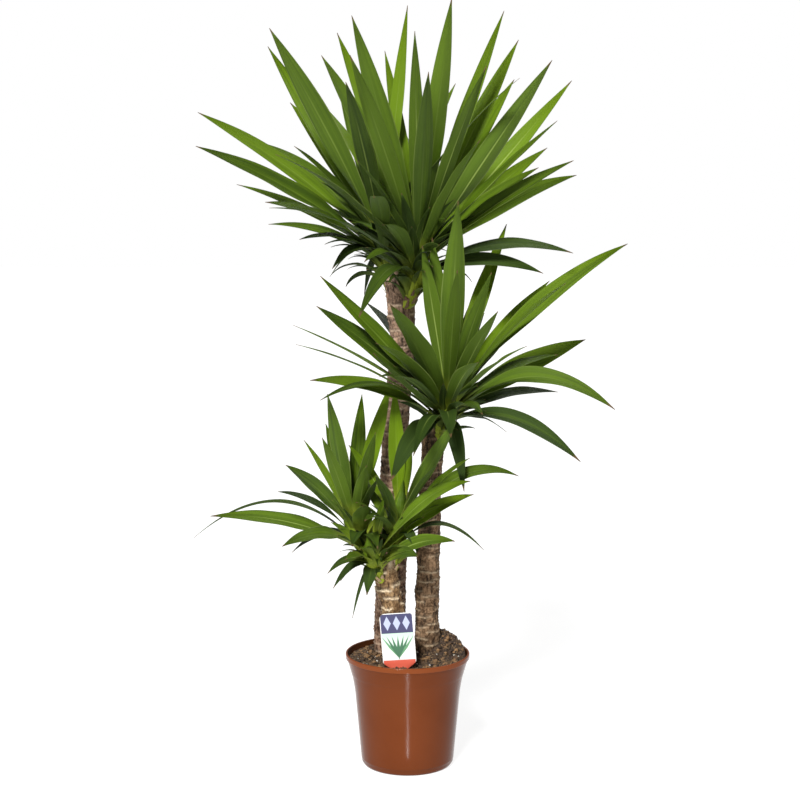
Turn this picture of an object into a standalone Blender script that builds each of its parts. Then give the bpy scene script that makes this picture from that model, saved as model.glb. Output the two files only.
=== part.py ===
"""A potted yucca: three bare canes of stepped height, each with green rosettes, in a plastic nursery pot.

Metres, +Z up. The origin is the middle of the pot's flat underside, and the front of the plant looks to -Y.
Across is +X, toward the front is -Y and up is +Z wherever a leaf's reach is given.
"""

import math
import random
from dataclasses import dataclass

import bmesh
import bpy
import numpy as np
from mathutils import Matrix

# Pot
POT_HEIGHT = 0.195
POT_RIM_RADIUS = 0.1065
POT_LIP_HEIGHT = 0.009
POT_LIP_ROUND = 0.0015
POT_FOOT_RADIUS = 0.0735
POT_FOOT_HEIGHT = 0.010
POT_FOOT_STEP = 0.0008
POT_BASE_RADIUS = 0.0792
POT_TAPER = 0.09
POT_COLLAR_START = 0.120
POT_COLLAR_FLARE = 2.0
POT_WALL = 0.0020
POT_FLOOR = 0.0025
POT_FLOOR_CHAMFER = 0.004
POT_FLOOR_CORNER = 0.008
POT_FOOT_CHAMFER_TOP = 0.006
POT_FOOT_CORNER = (0.003, 0.0012)
POT_STEPS = 36
DRAIN_HOLES = 8
DRAIN_HOLE_RADIUS = 0.005
DRAIN_HOLE_RING = 0.058
DRAIN_HOLE_SIDES = 8

# Potting mix
SOIL_CLEARANCE = 0.0004
SOIL_EDGE_HEIGHT = 0.186
SOIL_HIGHEST_EDGE = 0.189
SOIL_EDGE_INSET = 0.004
SOIL_DOME = 0.006
SOIL_HEAP = 0.034
SOIL_HEAP_PLACE = (0.055, 0.038)
SOIL_HEAP_REACH = 0.045
SOIL_LUMP = 0.0022
SOIL_LOWEST_WALL = 0.009
SOIL_WALL_HEIGHTS = (0.120, 0.140, 0.160)
SOIL_MIDDLE_SHARE = 0.06
SOIL_RINGS = 7
SOIL_SIDES = 26

# Canes, along the middle of each from its buried foot to its sawn top
SEAT = 0.0003
CANE_SIDES = 11
SCAR_PITCH = 0.0130
SCAR_DEPTH = 0.0011
SCAR_WAVE = 0.0025
CANE_FOOT = 0.075
CANE_SOIL_LINE = 0.191
CANE_CHAMFER = 0.003

# Leaves
BLADE_RINGS = 5
STRAIGHT_BLADE_RINGS = 4
STRAIGHT_ARCH = 0.11
BLADE_EDGE = 0.0007
BLADE_MIDDLE = 0.0014
BLADE_PEAK = 0.50
BLADE_NECK = 0.46
BLADE_TIP_WIDTH = 0.0014
BLADE_TWIST_ENDS = 0.5
TROUGH_WIDTH = 2.7
FOLD_AT_BASE = math.radians(30)
FOLD_AT_TIP = math.radians(10)
GOLDEN_ANGLE = math.radians(137.508)
ROOT_HIGHEST = 0.85
ROOT_LOWEST = 0.45
ROOT_DROP = 0.42
ROOT_RISE = 0.22
DRAFTS = 12
CANE_CLEARANCE = 0.044
HEAD_CLEARANCE = 0.035
SIDE_SHARE = 0.72

# A shoot's stem: how thick it is at shares of its length, against its radius at the cane
STEM_SIDES = 9
STEM_BEND = (0.75, 0.75, 0.40)
STEM_SWELL = ((0.0, 1.0), (0.3, 1.1), (0.6, 1.7), (0.85, 1.6), (1.0, 1.2), (1.15, 0.4))

# Plant label
LABEL_WIDTH = 0.056
LABEL_CARD_HEIGHT = 0.094
LABEL_STAKE_DEPTH = 0.048
LABEL_STAKE_WIDTH = 0.012
LABEL_STAKE_POINT = (0.004, 0.012)
LABEL_SHOULDER = 0.012
LABEL_NECK = 0.010
LABEL_CHAMFER = 0.009
LABEL_THICKNESS = 0.0008
LABEL_PLACE = (-0.0125, -0.0775, 0.189)
LABEL_LEAN = math.radians(-4.7)
LABEL_TURN = math.radians(-4.0)
LABEL_SLOT = 0.0004


@dataclass(frozen=True)
class Finish:
    """A Principled finish: its colour, how rough it is and whether it is metal."""

    name: str
    colour: tuple
    roughness: float
    metallic: float = 0.0


POT_PLASTIC = Finish("terracotta_plastic", (0.25, 0.068, 0.025), 0.38)
POTTING_MIX = Finish("potting_mix", (0.060, 0.030, 0.014), 0.95)
OLD_BARK = Finish("old_bark", (0.155, 0.095, 0.055), 0.90)
YOUNG_BARK = Finish("young_bark", (0.42, 0.27, 0.13), 0.85)
LEAF_GREEN = Finish("leaf_green", (0.050, 0.130, 0.018), 0.45)
CARD = Finish("printed_card", (0.62, 0.66, 0.60), 0.35)


@dataclass(frozen=True)
class Cane:
    """A bare cane: the points that its middle passes and its radius at each."""

    name: str
    path: tuple
    radii: tuple
    finish: Finish


CANE_TALL = Cane(
    "cane_tall",
    (
        (-0.032, 0.032, CANE_FOOT),
        (-0.031, 0.033, 0.195),
        (-0.026, 0.036, 0.385),
        (-0.021, 0.036, 0.565),
        (-0.010, 0.032, 0.745),
        (-0.014, 0.032, 0.851),
    ),
    (0.0260, 0.0285, 0.0255, 0.0232, 0.0215, 0.0275),
    OLD_BARK,
)
CANE_MIDDLE = Cane(
    "cane_middle",
    (
        (0.032, 0.010, CANE_FOOT),
        (0.033, 0.010, 0.205),
        (0.036, 0.011, 0.385),
        (0.041, 0.012, 0.515),
        (0.047, 0.012, 0.587),
    ),
    (0.0205, 0.0220, 0.0205, 0.0200, 0.0215),
    OLD_BARK,
)
CANE_SHORT = Cane(
    "cane_short",
    (
        (-0.009, -0.044, CANE_FOOT),
        (-0.015, -0.044, 0.195),
        (-0.028, -0.046, 0.295),
        (-0.037, -0.049, 0.350),
        (-0.035, -0.050, 0.373),
    ),
    (0.0185, 0.0205, 0.0198, 0.0210, 0.0160),
    YOUNG_BARK,
)


@dataclass(frozen=True)
class Leaf:
    """One blade. Its tip's reach from its shoot's heart is in centimetres: across, toward the front, up."""

    across: float
    toward: float
    up: float
    arch: float = 0.10
    turn: float = 30.0
    width: float = 3.3
    flat: bool = False


@dataclass(frozen=True)
class Shoot:
    """A leafy shoot: a stem from the cane to the heart, the leaves at the front, and a rule for the rest."""

    foot: tuple
    heart: tuple
    stem_radius: float
    leaves: tuple
    more: int
    length: float
    width: float
    start_angle: float
    seed: int
    lowest: float = -20.0
    steepest: float = 80.0


TALL_FRONT = Shoot(
    foot=(0.001, 0.014, 0.790),
    heart=(0.020, -0.010, 0.910),
    stem_radius=0.0115,
    leaves=(
        Leaf(-16, 5, 29, 0.10, 60, 3.4),
        Leaf(-14, -10, 34, 0.04, 60, 3.2),
        Leaf(-11, 8, 35, 0.04, 60, 3.8),
        Leaf(-11, 18, 28, 0.05, 60, 3.2),
        Leaf(-6, -22, 32, 0.05, 20, 2.6),
        Leaf(-1, 14, 32, 0.03, 30, 2.6),
        Leaf(1, 24, 25, 0.05, 10, 3.2),
        Leaf(5, 6, 38, 0.02, 40, 3.9),
        Leaf(14, -4, 37, 0.04, 60, 2.7),
        Leaf(17, -12, 33, 0.05, 60, 3.4),
        Leaf(17, -22, 27, 0.06, 60, 3.2),
        Leaf(21, 8, 28, -0.01, 60, 3.8),
        Leaf(26, -10, 26, -0.02, 60, 3.4),
        Leaf(21, 18, 18, 0.02, 60, 3.4),
        Leaf(23, -22, 15, 0.03, 60, 3.2),
        Leaf(19, 8, 11, 0.06, 60, 3.4),
        Leaf(24, 14, 12, 0.05, 60, 3.4),
        Leaf(27, -10, 10, 0.10, 60, 3.4),
        Leaf(20.3, 4, -6.2, 0.10, 60, 2.6),
        Leaf(-10, 16, 12, 0.08, 60, 3.2),
        Leaf(-6, 20, 2, 0.14, 15, 3.0),
        Leaf(-9, 12, -4, 0.18, 20, 2.6),
        Leaf(9, 21, 15, 0.08, 60, 3.2),
    ),
    more=10,
    length=0.34,
    width=0.032,
    start_angle=1.1,
    seed=11,
    lowest=-15.0,
    steepest=64.0,
)
TALL_BACK = Shoot(
    foot=(-0.026, 0.048, 0.810),
    heart=(-0.045, 0.060, 0.935),
    stem_radius=0.0115,
    leaves=(
        Leaf(-18, 10, 31, 0.04, 60, 4.0),
        Leaf(-20, -12, 30, 0.01, 60, 3.4),
        Leaf(-8, -15, 25, 0.02, 20, 2.5),
        Leaf(4.5, -6, 36.4, 0.02, 20, 2.6),
        Leaf(-17, -25, 21, 0.06, 60, 3.2),
        Leaf(-31, 0, 18, 0.07, 60, 3.2),
        Leaf(-30, 12, 12, 0.06, 60, 3.6),
        Leaf(-26, -15, 6, 0.04, 60, 1.6),
        Leaf(-18, 22, 3, 0.07, 60, 3.6),
        Leaf(-20, -10, -1, 0.06, 60, 1.6),
        Leaf(-8, 10, -8, 0.20, 20, 2.6),
        Leaf(-9, -6, -10, 0.20, 20, 2.2),
        Leaf(-14, 12, 12, 0.08, 60, 3.2),
        Leaf(-13, 16, -3, 0.08, 30, 2.6),
        Leaf(-3.0, -3, -13, 0.24, 20, 2.6),
    ),
    more=10,
    length=0.34,
    width=0.032,
    start_angle=6.1,
    seed=12,
    lowest=-15.0,
    steepest=64.0,
)
MIDDLE = Shoot(
    foot=(0.050, 0.006, 0.550),
    heart=(0.0695, -0.010, 0.657),
    stem_radius=0.0115,
    leaves=(
        Leaf(1, 12, 31, 0.02, 20, 4.2),
        Leaf(-3, 5, 25, 0.02, 30, 3.8),
        Leaf(10, -8, 27, 0.04, 30, 3.4),
        Leaf(29, 5, 24, 0.15, 66, 3.4),
        Leaf(18, -14, 17, 0.07, 30, 3.2),
        Leaf(7, 20, 14, 0.06, 20, 3.2),
        Leaf(12, -16, 8, 0.10, 20, 3.0),
        Leaf(24, -10, 7, 0.04, 60, 4.4),
        Leaf(27, 8, -3, 0.38, 40, 4.0),
        Leaf(21, 12, -11, 0.19, 35, 3.8),
        Leaf(19.3, -10, -2.2, 0.08, 30, 3.0),
        Leaf(10.3, -8, -9, 0.03, 20, 2.6),
        Leaf(5, 14, -3, 0.16, 10, 3.0),
        Leaf(2.4, 6, -17, 0.24, 20, 3.0),
        Leaf(-21.3, 6, 18.8, -0.01, 62, 3.4),
        Leaf(-22, 5, 13.8, 0.02, 58, 4.0),
        Leaf(-25.7, 7, 10.8, 0.04, 20, 1.5),
        Leaf(-25, 11, 8, 0.06, 20, 1.3),
        Leaf(-22.7, 13, 2.4, 0.09, 55, 3.2),
        Leaf(-21, 15, -0.6, 0.26, 20, 2.4),
        Leaf(-9.8, 19, 15, 0.08, 10, 4.8),
        Leaf(-12, 20, 9, 0.10, 10, 4.2),
        Leaf(-12.5, 15, 7, -0.12, 15, 3.0),
        Leaf(-9.7, 13, -14, 0.14, 35, 4.0),
        Leaf(0, 12, -7, 0.22, 20, 3.2),
        Leaf(4, 20, 6, 0.12, 20, 3.2),
        Leaf(12, 14, 8, 0.08, 30, 3.2),
    ),
    more=12,
    length=0.28,
    width=0.030,
    start_angle=3.4,
    seed=13,
)
SHORT_RIGHT = Shoot(
    foot=(-0.029, -0.052, 0.340),
    heart=(-0.0125, -0.050, 0.466),
    stem_radius=0.0095,
    leaves=(
        Leaf(-1, -2, 19, 0.02, 40, 3.0),
        Leaf(9.3, 4, 14.5, 0.04, 50, 3.0),
        Leaf(20, -3, 3.9, 0.38, 40, 2.8),
        Leaf(-7.3, 6, 1.1, 0.06, 20, 3.0),
        Leaf(14, 1, -8, 0.30, 20, 1.4),
        Leaf(3, 5, -8, 0.25, 20, 2.0),
        Leaf(6, 9, 8, 0.08, 30, 2.6),
        Leaf(-4, 9, 6, 0.10, 30, 2.6),
        Leaf(-5, 7, -1, 0.14, 30, 2.4),
    ),
    more=5,
    length=0.15,
    width=0.025,
    start_angle=0.9,
    seed=14,
)
SHORT_LEFT = Shoot(
    foot=(-0.042, -0.050, 0.340),
    heart=(-0.0975, -0.040, 0.451),
    stem_radius=0.0095,
    leaves=(
        Leaf(-3.5, 3, 20, 0.02, 40, 3.0),
        Leaf(2, -5, 19, 0.03, 40, 2.8),
        Leaf(-4, 12, 14, 0.06, 20, 2.4),
        Leaf(-8, -6, 11, 0.08, 30, 1.4),
        Leaf(-11, -4, 7, 0.10, 40, 3.0),
        Leaf(-23, 4, -0.3, 0.05, 40, 3.2),
        Leaf(-27, -6, -6, 0.38, 20, 1.2),
        Leaf(-11, 6, -5, 0.07, 30, 3.6),
        Leaf(-10, -3, -8, 0.16, 30, 2.4),
        Leaf(3, 9, 9, 0.08, 30, 2.8),
        Leaf(2.5, 9, 2.4, 0.05, 15, 3.4),
        Leaf(0.6, 8, -4.6, 0.22, 10, 2.8),
        Leaf(5.0, 6, 6.5, 0.12, 20, 2.4),
        Leaf(6.8, -2, 21, 0.03, 50, 3.2),
    ),
    more=5,
    length=0.16,
    width=0.025,
    start_angle=2.6,
    seed=15,
)
SHORT_FRONT = Shoot(
    foot=(-0.043, -0.056, 0.330),
    heart=(-0.0618, -0.090, 0.400),
    stem_radius=0.0085,
    leaves=(
        Leaf(2.2, -1, 8, 0.02, 30, 2.0),
        Leaf(16.4, 2, 11.2, 0.27, 50, 2.6),
        Leaf(17.2, -4, 7.9, 0.19, 50, 2.8),
        Leaf(13.9, 3, 1.4, 0.16, 45, 2.8),
        Leaf(7.9, 3, -1.2, 0.14, 45, 3.0),
        Leaf(-7, 3, -4, 0.22, 30, 1.8),
        Leaf(-6, 5, -6, 0.22, 30, 1.6),
        Leaf(-5, 0, -6, 0.22, 30, 1.6),
        Leaf(-3, 1, -12, 0.20, 20, 1.0),
        Leaf(-4, 6, -1, 0.15, 30, 2.4),
        Leaf(-0.6, 1.5, -8, 0.12, 20, 2.6),
    ),
    more=3,
    length=0.08,
    width=0.018,
    start_angle=0.2,
    seed=16,
)


@dataclass(frozen=True)
class Head:
    """The shoots of one cane, which grow through each other and so are one piece."""

    name: str
    cane: Cane
    shoots: tuple


HEADS = (
    Head("head_tall", CANE_TALL, (TALL_FRONT, TALL_BACK)),
    Head("head_middle", CANE_MIDDLE, (MIDDLE,)),
    Head("head_short", CANE_SHORT, (SHORT_RIGHT, SHORT_LEFT, SHORT_FRONT)),
)
CANES = (CANE_TALL, CANE_MIDDLE, CANE_SHORT)


def clear_scene():
    """Removes the objects that Blender starts with."""
    for thing in list(bpy.data.objects):
        bpy.data.objects.remove(thing, do_unlink=True)


def collection(name):
    """A new collection in the scene."""
    made = bpy.data.collections.new(name)
    bpy.context.scene.collection.children.link(made)
    return made


def material(finish):
    """The Principled material of a finish, made once."""
    made = bpy.data.materials.get(finish.name)
    if made:
        return made
    made = bpy.data.materials.new(finish.name)
    made.use_nodes = True
    shader = made.node_tree.nodes["Principled BSDF"]
    shader.inputs["Base Color"].default_value = (*finish.colour, 1.0)
    shader.inputs["Roughness"].default_value = finish.roughness
    shader.inputs["Metallic"].default_value = finish.metallic
    return made


def new_object(name, mesh, group, finish=None):
    """An object that shows the mesh, in a collection."""
    thing = bpy.data.objects.new(name, mesh)
    group.objects.link(thing)
    if finish:
        mesh.materials.append(material(finish))
    return thing


def hide_cutter(thing):
    """Keeps a cutter out of the model."""
    thing.hide_render = True
    thing.display_type = "WIRE"
    return thing


def loft(name, rings):
    """A closed solid through rings of equally many points, its two ends closed flat.

    Each four-sided face is split along the same diagonal, so a thin blade's two faces never cross.
    """
    rings = np.asarray(rings, float)
    count, sides = rings.shape[:2]
    form = bmesh.new()
    corners = [[form.verts.new(point) for point in ring] for ring in rings]
    for lower, upper in zip(corners[:-1], corners[1:]):
        for i in range(sides):
            j = (i + 1) % sides
            if i < sides // 2:
                form.faces.new((lower[i], lower[j], upper[j]))
                form.faces.new((lower[i], upper[j], upper[i]))
            else:
                form.faces.new((lower[i], lower[j], upper[i]))
                form.faces.new((lower[j], upper[j], upper[i]))
    form.faces.new(corners[0][::-1])
    form.faces.new(corners[-1])
    bmesh.ops.recalc_face_normals(form, faces=form.faces)
    mesh = bpy.data.meshes.new(name)
    form.to_mesh(mesh)
    form.free()
    return mesh


def apply_boolean(thing, operation, solver="EXACT", other=None, group=None):
    """Joins another object, or a collection's, to this one, or cuts it away, and applies that."""
    modifier = thing.modifiers.new(operation.lower(), "BOOLEAN")
    modifier.operation = operation
    modifier.solver = solver
    if group:
        modifier.operand_type = "COLLECTION"
        modifier.collection = group
    else:
        modifier.object = other
    graph = bpy.context.evaluated_depsgraph_get()
    mesh = bpy.data.meshes.new_from_object(thing.evaluated_get(graph))
    thing.modifiers.clear()
    thing.data = mesh


def keep_largest(mesh):
    """Drops the loose scraps that a cut leaves beside the largest connected body."""
    form = bmesh.new()
    form.from_mesh(mesh)
    left, islands = set(form.verts), []
    while left:
        island, edge = set(), {left.pop()}
        while edge:
            island |= edge
            edge = {e.other_vert(v) for v in edge for e in v.link_edges} - island
        left -= island
        islands.append(island)
    islands.sort(key=len)
    scraps = [vertex for island in islands[:-1] for vertex in island]
    bmesh.ops.delete(form, geom=scraps, context="VERTS")
    form.to_mesh(mesh)
    form.free()


def remove_collection(group):
    """Removes a collection with its objects."""
    for thing in list(group.objects):
        bpy.data.objects.remove(thing, do_unlink=True)
    bpy.data.collections.remove(group)


def pot_radius(height):
    """The pot's outer radius under its lip: a straight taper that flares into the collar."""
    above = max(height - POT_COLLAR_START, 0.0)
    return POT_BASE_RADIUS + POT_TAPER * height + POT_COLLAR_FLARE * above**2


def arc(middle, radius, first, last, count):
    """Points of an arc in the profile's plane, its angles in degrees from the outward direction."""
    angles = np.radians(np.linspace(first, last, count))
    return [(middle[0] + radius * math.cos(a), middle[1] + radius * math.sin(a)) for a in angles]


def pot_profile():
    """The pot's section, from the floor's middle up the inside, over the lip and down the outside."""
    lip_base = POT_HEIGHT - POT_LIP_HEIGHT
    collar = np.linspace(POT_COLLAR_START, lip_base, 4)
    inside = [(0.0, POT_FLOOR), (pot_radius(POT_FLOOR) - POT_WALL - POT_FLOOR_CHAMFER, POT_FLOOR)]
    inside.append((pot_radius(POT_FLOOR_CORNER) - POT_WALL, POT_FLOOR_CORNER))
    inside += [(pot_radius(z) - POT_WALL, z) for z in collar]
    inside.append((pot_radius(lip_base) - POT_WALL, POT_HEIGHT - POT_LIP_ROUND))
    crest = POT_RIM_RADIUS - POT_LIP_ROUND
    lip = [(pot_radius(lip_base) - POT_WALL + POT_LIP_ROUND, POT_HEIGHT)]
    lip += arc((crest, POT_HEIGHT - POT_LIP_ROUND), POT_LIP_ROUND, 90, 0, 2)
    lip += arc((crest, lip_base + POT_LIP_ROUND), POT_LIP_ROUND, 0, -90, 2)
    outside = [(pot_radius(z), z) for z in collar[::-1]]
    foot_top = pot_radius(POT_FOOT_HEIGHT)
    outside += [
        (foot_top, POT_FOOT_HEIGHT + POT_FOOT_STEP),
        (foot_top - POT_FOOT_STEP, POT_FOOT_HEIGHT),
        (pot_radius(POT_FOOT_CHAMFER_TOP) - POT_FOOT_STEP, POT_FOOT_CHAMFER_TOP),
        (POT_FOOT_RADIUS + POT_FOOT_CORNER[0], POT_FOOT_CORNER[1]),
        (POT_FOOT_RADIUS, 0.0),
        (0.0, 0.0),
    ]
    return inside + lip + outside


def turned(name, profile, group, finish, steps):
    """A turned solid: the profile as an edge chain with a Screw about the vertical axis, applied."""
    mesh = bpy.data.meshes.new(name)
    points = [(radius, 0.0, height) for radius, height in profile]
    mesh.from_pydata(points, [(i, i + 1) for i in range(len(points) - 1)], [])
    thing = new_object(name, mesh, group)
    screw = thing.modifiers.new("turn", "SCREW")
    screw.steps = screw.render_steps = steps
    screw.use_merge_vertices = True
    screw.merge_threshold = 1e-5
    graph = bpy.context.evaluated_depsgraph_get()
    thing.data = bpy.data.meshes.new_from_object(thing.evaluated_get(graph))
    thing.modifiers.clear()
    thing.data.materials.append(material(finish))
    return thing


def shade(thing, angle=40):
    """Smooth shading that keeps edges sharper than the angle."""
    thing.data.shade_smooth()
    thing.data.set_sharp_from_angle(angle=math.radians(angle))


def build_pot(group, cutters):
    """The pot, with its drain holes cut through the floor."""
    pot = turned("pot", pot_profile(), group, POT_PLASTIC, POT_STEPS)
    for i in range(DRAIN_HOLES):
        angle = math.tau * (i + 0.5) / DRAIN_HOLES
        drill = bmesh.new()
        bmesh.ops.create_cone(
            drill,
            cap_ends=True,
            segments=DRAIN_HOLE_SIDES,
            radius1=DRAIN_HOLE_RADIUS,
            radius2=DRAIN_HOLE_RADIUS,
            depth=4 * POT_FLOOR,
        )
        place = (DRAIN_HOLE_RING * math.cos(angle), DRAIN_HOLE_RING * math.sin(angle), POT_FLOOR)
        bmesh.ops.translate(drill, verts=drill.verts, vec=place)
        mesh = bpy.data.meshes.new(f"drain_{i}")
        drill.to_mesh(mesh)
        drill.free()
        hide_cutter(new_object(f"drain_{i}", mesh, cutters))
    apply_boolean(pot, "DIFFERENCE", group=cutters)
    shade(pot)
    return pot


def soil_height(x, y):
    """The soil's surface: a low dome, a heap behind the middle cane, and lumps from crossed waves."""
    from_heap = np.hypot(x - SOIL_HEAP_PLACE[0], y - SOIL_HEAP_PLACE[1]) / SOIL_HEAP_REACH
    dome = SOIL_DOME * (1 - np.hypot(x, y) / POT_RIM_RADIUS)
    lumps = np.sin(91 * x + 40 * y) * np.cos(73 * y - 55 * x) + 0.6 * np.sin(170 * x - 130 * y)
    return SOIL_EDGE_HEIGHT + dome + SOIL_HEAP * np.exp(-(from_heap**2)) + SOIL_LUMP * lumps


def soil_rings():
    """Rings from the flat underside, up the pot's inner wall and in over the lumpy surface."""
    angles = np.linspace(0, math.tau, SOIL_SIDES, endpoint=False)
    floor = POT_FLOOR + SOIL_CLEARANCE
    inner_floor = pot_radius(POT_FLOOR) - POT_WALL - POT_FLOOR_CHAMFER - SOIL_CLEARANCE
    lowest_wall = pot_radius(POT_FLOOR_CORNER) - POT_WALL - 2 * SOIL_CLEARANCE
    walls = [(inner_floor, floor), (lowest_wall, SOIL_LOWEST_WALL)]
    for height in SOIL_WALL_HEIGHTS:
        walls.append((pot_radius(height) - POT_WALL - 2 * SOIL_CLEARANCE, height))
    rings = [
        np.stack([r * np.cos(angles), r * np.sin(angles), np.full_like(angles, z)], axis=1)
        for r, z in walls
    ]
    edge = pot_radius(SOIL_EDGE_HEIGHT - SOIL_EDGE_INSET) - POT_WALL - 3 * SOIL_CLEARANCE
    for share in np.linspace(1.0, SOIL_MIDDLE_SHARE, SOIL_RINGS):
        x, y = edge * share * np.cos(angles), edge * share * np.sin(angles)
        top = soil_height(x, y)
        if share == 1.0:
            top = np.minimum(top, SOIL_HIGHEST_EDGE)
        rings.append(np.stack([x, y, top], axis=1))
    return rings


def smooth_path(points, heights):
    """The cane's middle at each height, on a cubic Hermite curve through its points."""
    points = np.asarray(points, float)
    knots = points[:, 2]
    slopes = np.gradient(points[:, :2], knots, axis=0)
    span = np.clip(np.searchsorted(knots, heights, side="right") - 1, 0, len(knots) - 2)
    width = (knots[span + 1] - knots[span])[:, None]
    t = ((heights - knots[span]) / (knots[span + 1] - knots[span]))[:, None]
    start, end = points[span, :2], points[span + 1, :2]
    return (
        (2 * t**3 - 3 * t**2 + 1) * start
        + (t**3 - 2 * t**2 + t) * width * slopes[span]
        + (3 * t**2 - 2 * t**3) * end
        + (t**3 - t**2) * width * slopes[span + 1]
    )


def cane_rings(cane, grow=0.0):
    """A cane's rings: round, with wavy raised leaf scars above the soil, plain where it is buried."""
    foot, top = cane.path[0][2], cane.path[-1][2]
    count = max(int((top - CANE_SOIL_LINE - CANE_CHAMFER) / SCAR_PITCH), 2)
    scars = list(np.linspace(CANE_SOIL_LINE, top - CANE_CHAMFER, count + 1)[1:])
    heights = np.array([foot, CANE_SOIL_LINE] + scars + [top])
    middles = smooth_path(cane.path, heights)
    radii = np.interp(heights, [point[2] for point in cane.path], cane.radii)
    radii[-1] -= CANE_CHAMFER
    rows = np.arange(len(heights))
    scarred = (rows >= 2) & (rows < len(rows) - 2)
    relief = np.where(scarred, SCAR_DEPTH * np.cos(math.pi * rows), 0.0)
    heights[0] -= grow
    heights[-1] += grow
    angles = np.linspace(0, math.tau, CANE_SIDES, endpoint=False)
    wave = scarred[:, None] * SCAR_WAVE * np.sin(2 * angles[None, :] + 2.4 * rows[:, None])
    round_radii = (radii + relief + grow)[:, None]
    return np.stack(
        [
            middles[:, 0:1] + round_radii * np.cos(angles),
            middles[:, 1:2] + round_radii * np.sin(angles),
            heights[:, None] + wave,
        ],
        axis=2,
    )


def shoot_axis(shoot, share):
    """A point of the shoot's stem: it leaves the cane outward and bends up to the heart."""
    foot, heart = np.array(shoot.foot), np.array(shoot.heart)
    bend = foot + (heart - foot) * np.array(STEM_BEND)
    return (1 - share) ** 2 * foot + 2 * share * (1 - share) * bend + share**2 * heart


def stem_rings(shoot):
    """The stem of a shoot, a tapered round rod that stops a little above the heart."""
    angles = np.linspace(0, math.tau, STEM_SIDES, endpoint=False)
    rings = []
    for share, swell in STEM_SWELL:
        middle = shoot_axis(shoot, min(share, 1.0))
        middle = middle + (share > 1.0) * (np.array(shoot.heart) - np.array(shoot.foot)) * (share - 1)
        ring = shoot.stem_radius * swell * np.stack([np.cos(angles), np.sin(angles), 0 * angles], axis=1)
        rings.append(middle + ring)
    return rings


def draft_leaf(shoot, i, draw):
    """One draft of the leaf that stands i golden angles round: young leaves are steep, old ones droop."""
    age = (i + 0.5) / shoot.more
    angle = shoot.start_angle + i * GOLDEN_ANGLE + draw.uniform(-0.8, 0.8)
    slope = shoot.steepest + (shoot.lowest - shoot.steepest) * age + draw.uniform(-12, 12)
    reach = 100 * shoot.length * (0.80 + 0.35 * math.sin(math.pi * age)) * draw.uniform(0.88, 1.1)
    level = reach * math.cos(math.radians(slope))
    return Leaf(
        level * math.cos(angle) * SIDE_SHARE,
        -level * math.sin(angle),
        reach * math.sin(math.radians(slope)),
        0.04 + 0.14 * age,
        draw.uniform(10, 45),
        100 * shoot.width * draw.uniform(0.85, 1.1),
        flat=True,
    )


def cane_trace(cane):
    """Points along a cane's middle."""
    heights = np.linspace(cane.path[0][2], cane.path[-1][2], 40)
    return np.column_stack([smooth_path(cane.path, heights), heights])


def nearest(points, others):
    """The least distance between two sets of points."""
    return np.linalg.norm(points[:, None, :] - others[None, :, :], axis=2).min()


def room_for(line, own, others, canes):
    """How much room a leaf's line has in its head, less a charge for nearing other heads and the canes."""
    room = nearest(line, own)
    room += 10 * min(nearest(line, others) - HEAD_CLEARANCE, 0.0)
    return room + 10 * min(nearest(line, canes) - CANE_CLEARANCE, 0.0)


def grow_leaves():
    """Every shoot's leaves: the seen ones, and the rule's, each the roomiest of a few seeded drafts."""
    trace = np.linspace(0.15, 1.0, 10)
    canes = np.concatenate([cane_trace(cane) for cane in CANES])
    taken = {
        head.name: [blade_line(shoot, leaf, trace)[0] for shoot in head.shoots for leaf in shoot.leaves]
        for head in HEADS
    }
    grown = {}
    for head in HEADS:
        others = np.concatenate([line for name in taken if name != head.name for line in taken[name]])
        for shoot in head.shoots:
            draw = random.Random(shoot.seed)
            grown[shoot] = list(shoot.leaves)
            for i in range(shoot.more):
                own = np.concatenate(taken[head.name])
                drafts = [draft_leaf(shoot, i, draw) for _ in range(DRAFTS)]
                lines = [blade_line(shoot, leaf, trace)[0] for leaf in drafts]
                rooms = [room_for(line, own, others, canes) for line in lines]
                best = int(np.argmax(rooms))
                grown[shoot].append(drafts[best])
                taken[head.name].append(lines[best])
    return grown


def blade_line(shoot, leaf, share):
    """A blade's middle line at each share of its length, its direction there, and its outward heading.

    The line is a quadratic curve that leaves the stem steeply and arches over to the tip. Steep leaves grow
    from the stem's top, and level or drooping ones from lower down.
    """
    reach = np.array([leaf.across, -leaf.toward, leaf.up]) / 100
    steepness = reach[2] / np.linalg.norm(reach)
    stem_length = np.linalg.norm(np.array(shoot.heart) - np.array(shoot.foot))
    outward = np.array([reach[0], reach[1], 0.0])
    outward /= max(np.linalg.norm(outward), 1e-6)
    root_share = max(ROOT_HIGHEST - ROOT_DROP * (1 - steepness), ROOT_LOWEST)
    root = shoot_axis(shoot, root_share) + 0.25 * shoot.stem_radius * outward
    tip = np.array(shoot.heart) + reach
    upward = np.array([0.0, 0.0, 1.0])
    lift = leaf.arch * np.linalg.norm(tip - root) + ROOT_RISE * stem_length * (1 - steepness)
    bend = root + 0.45 * (tip - root) + lift * upward
    t = share[:, None]
    middle = (1 - t) ** 2 * root + 2 * t * (1 - t) * bend + t**2 * tip
    along = 2 * (1 - t) * (bend - root) + 2 * t * (tip - bend)
    return middle, along / np.linalg.norm(along, axis=1, keepdims=True), outward


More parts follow.
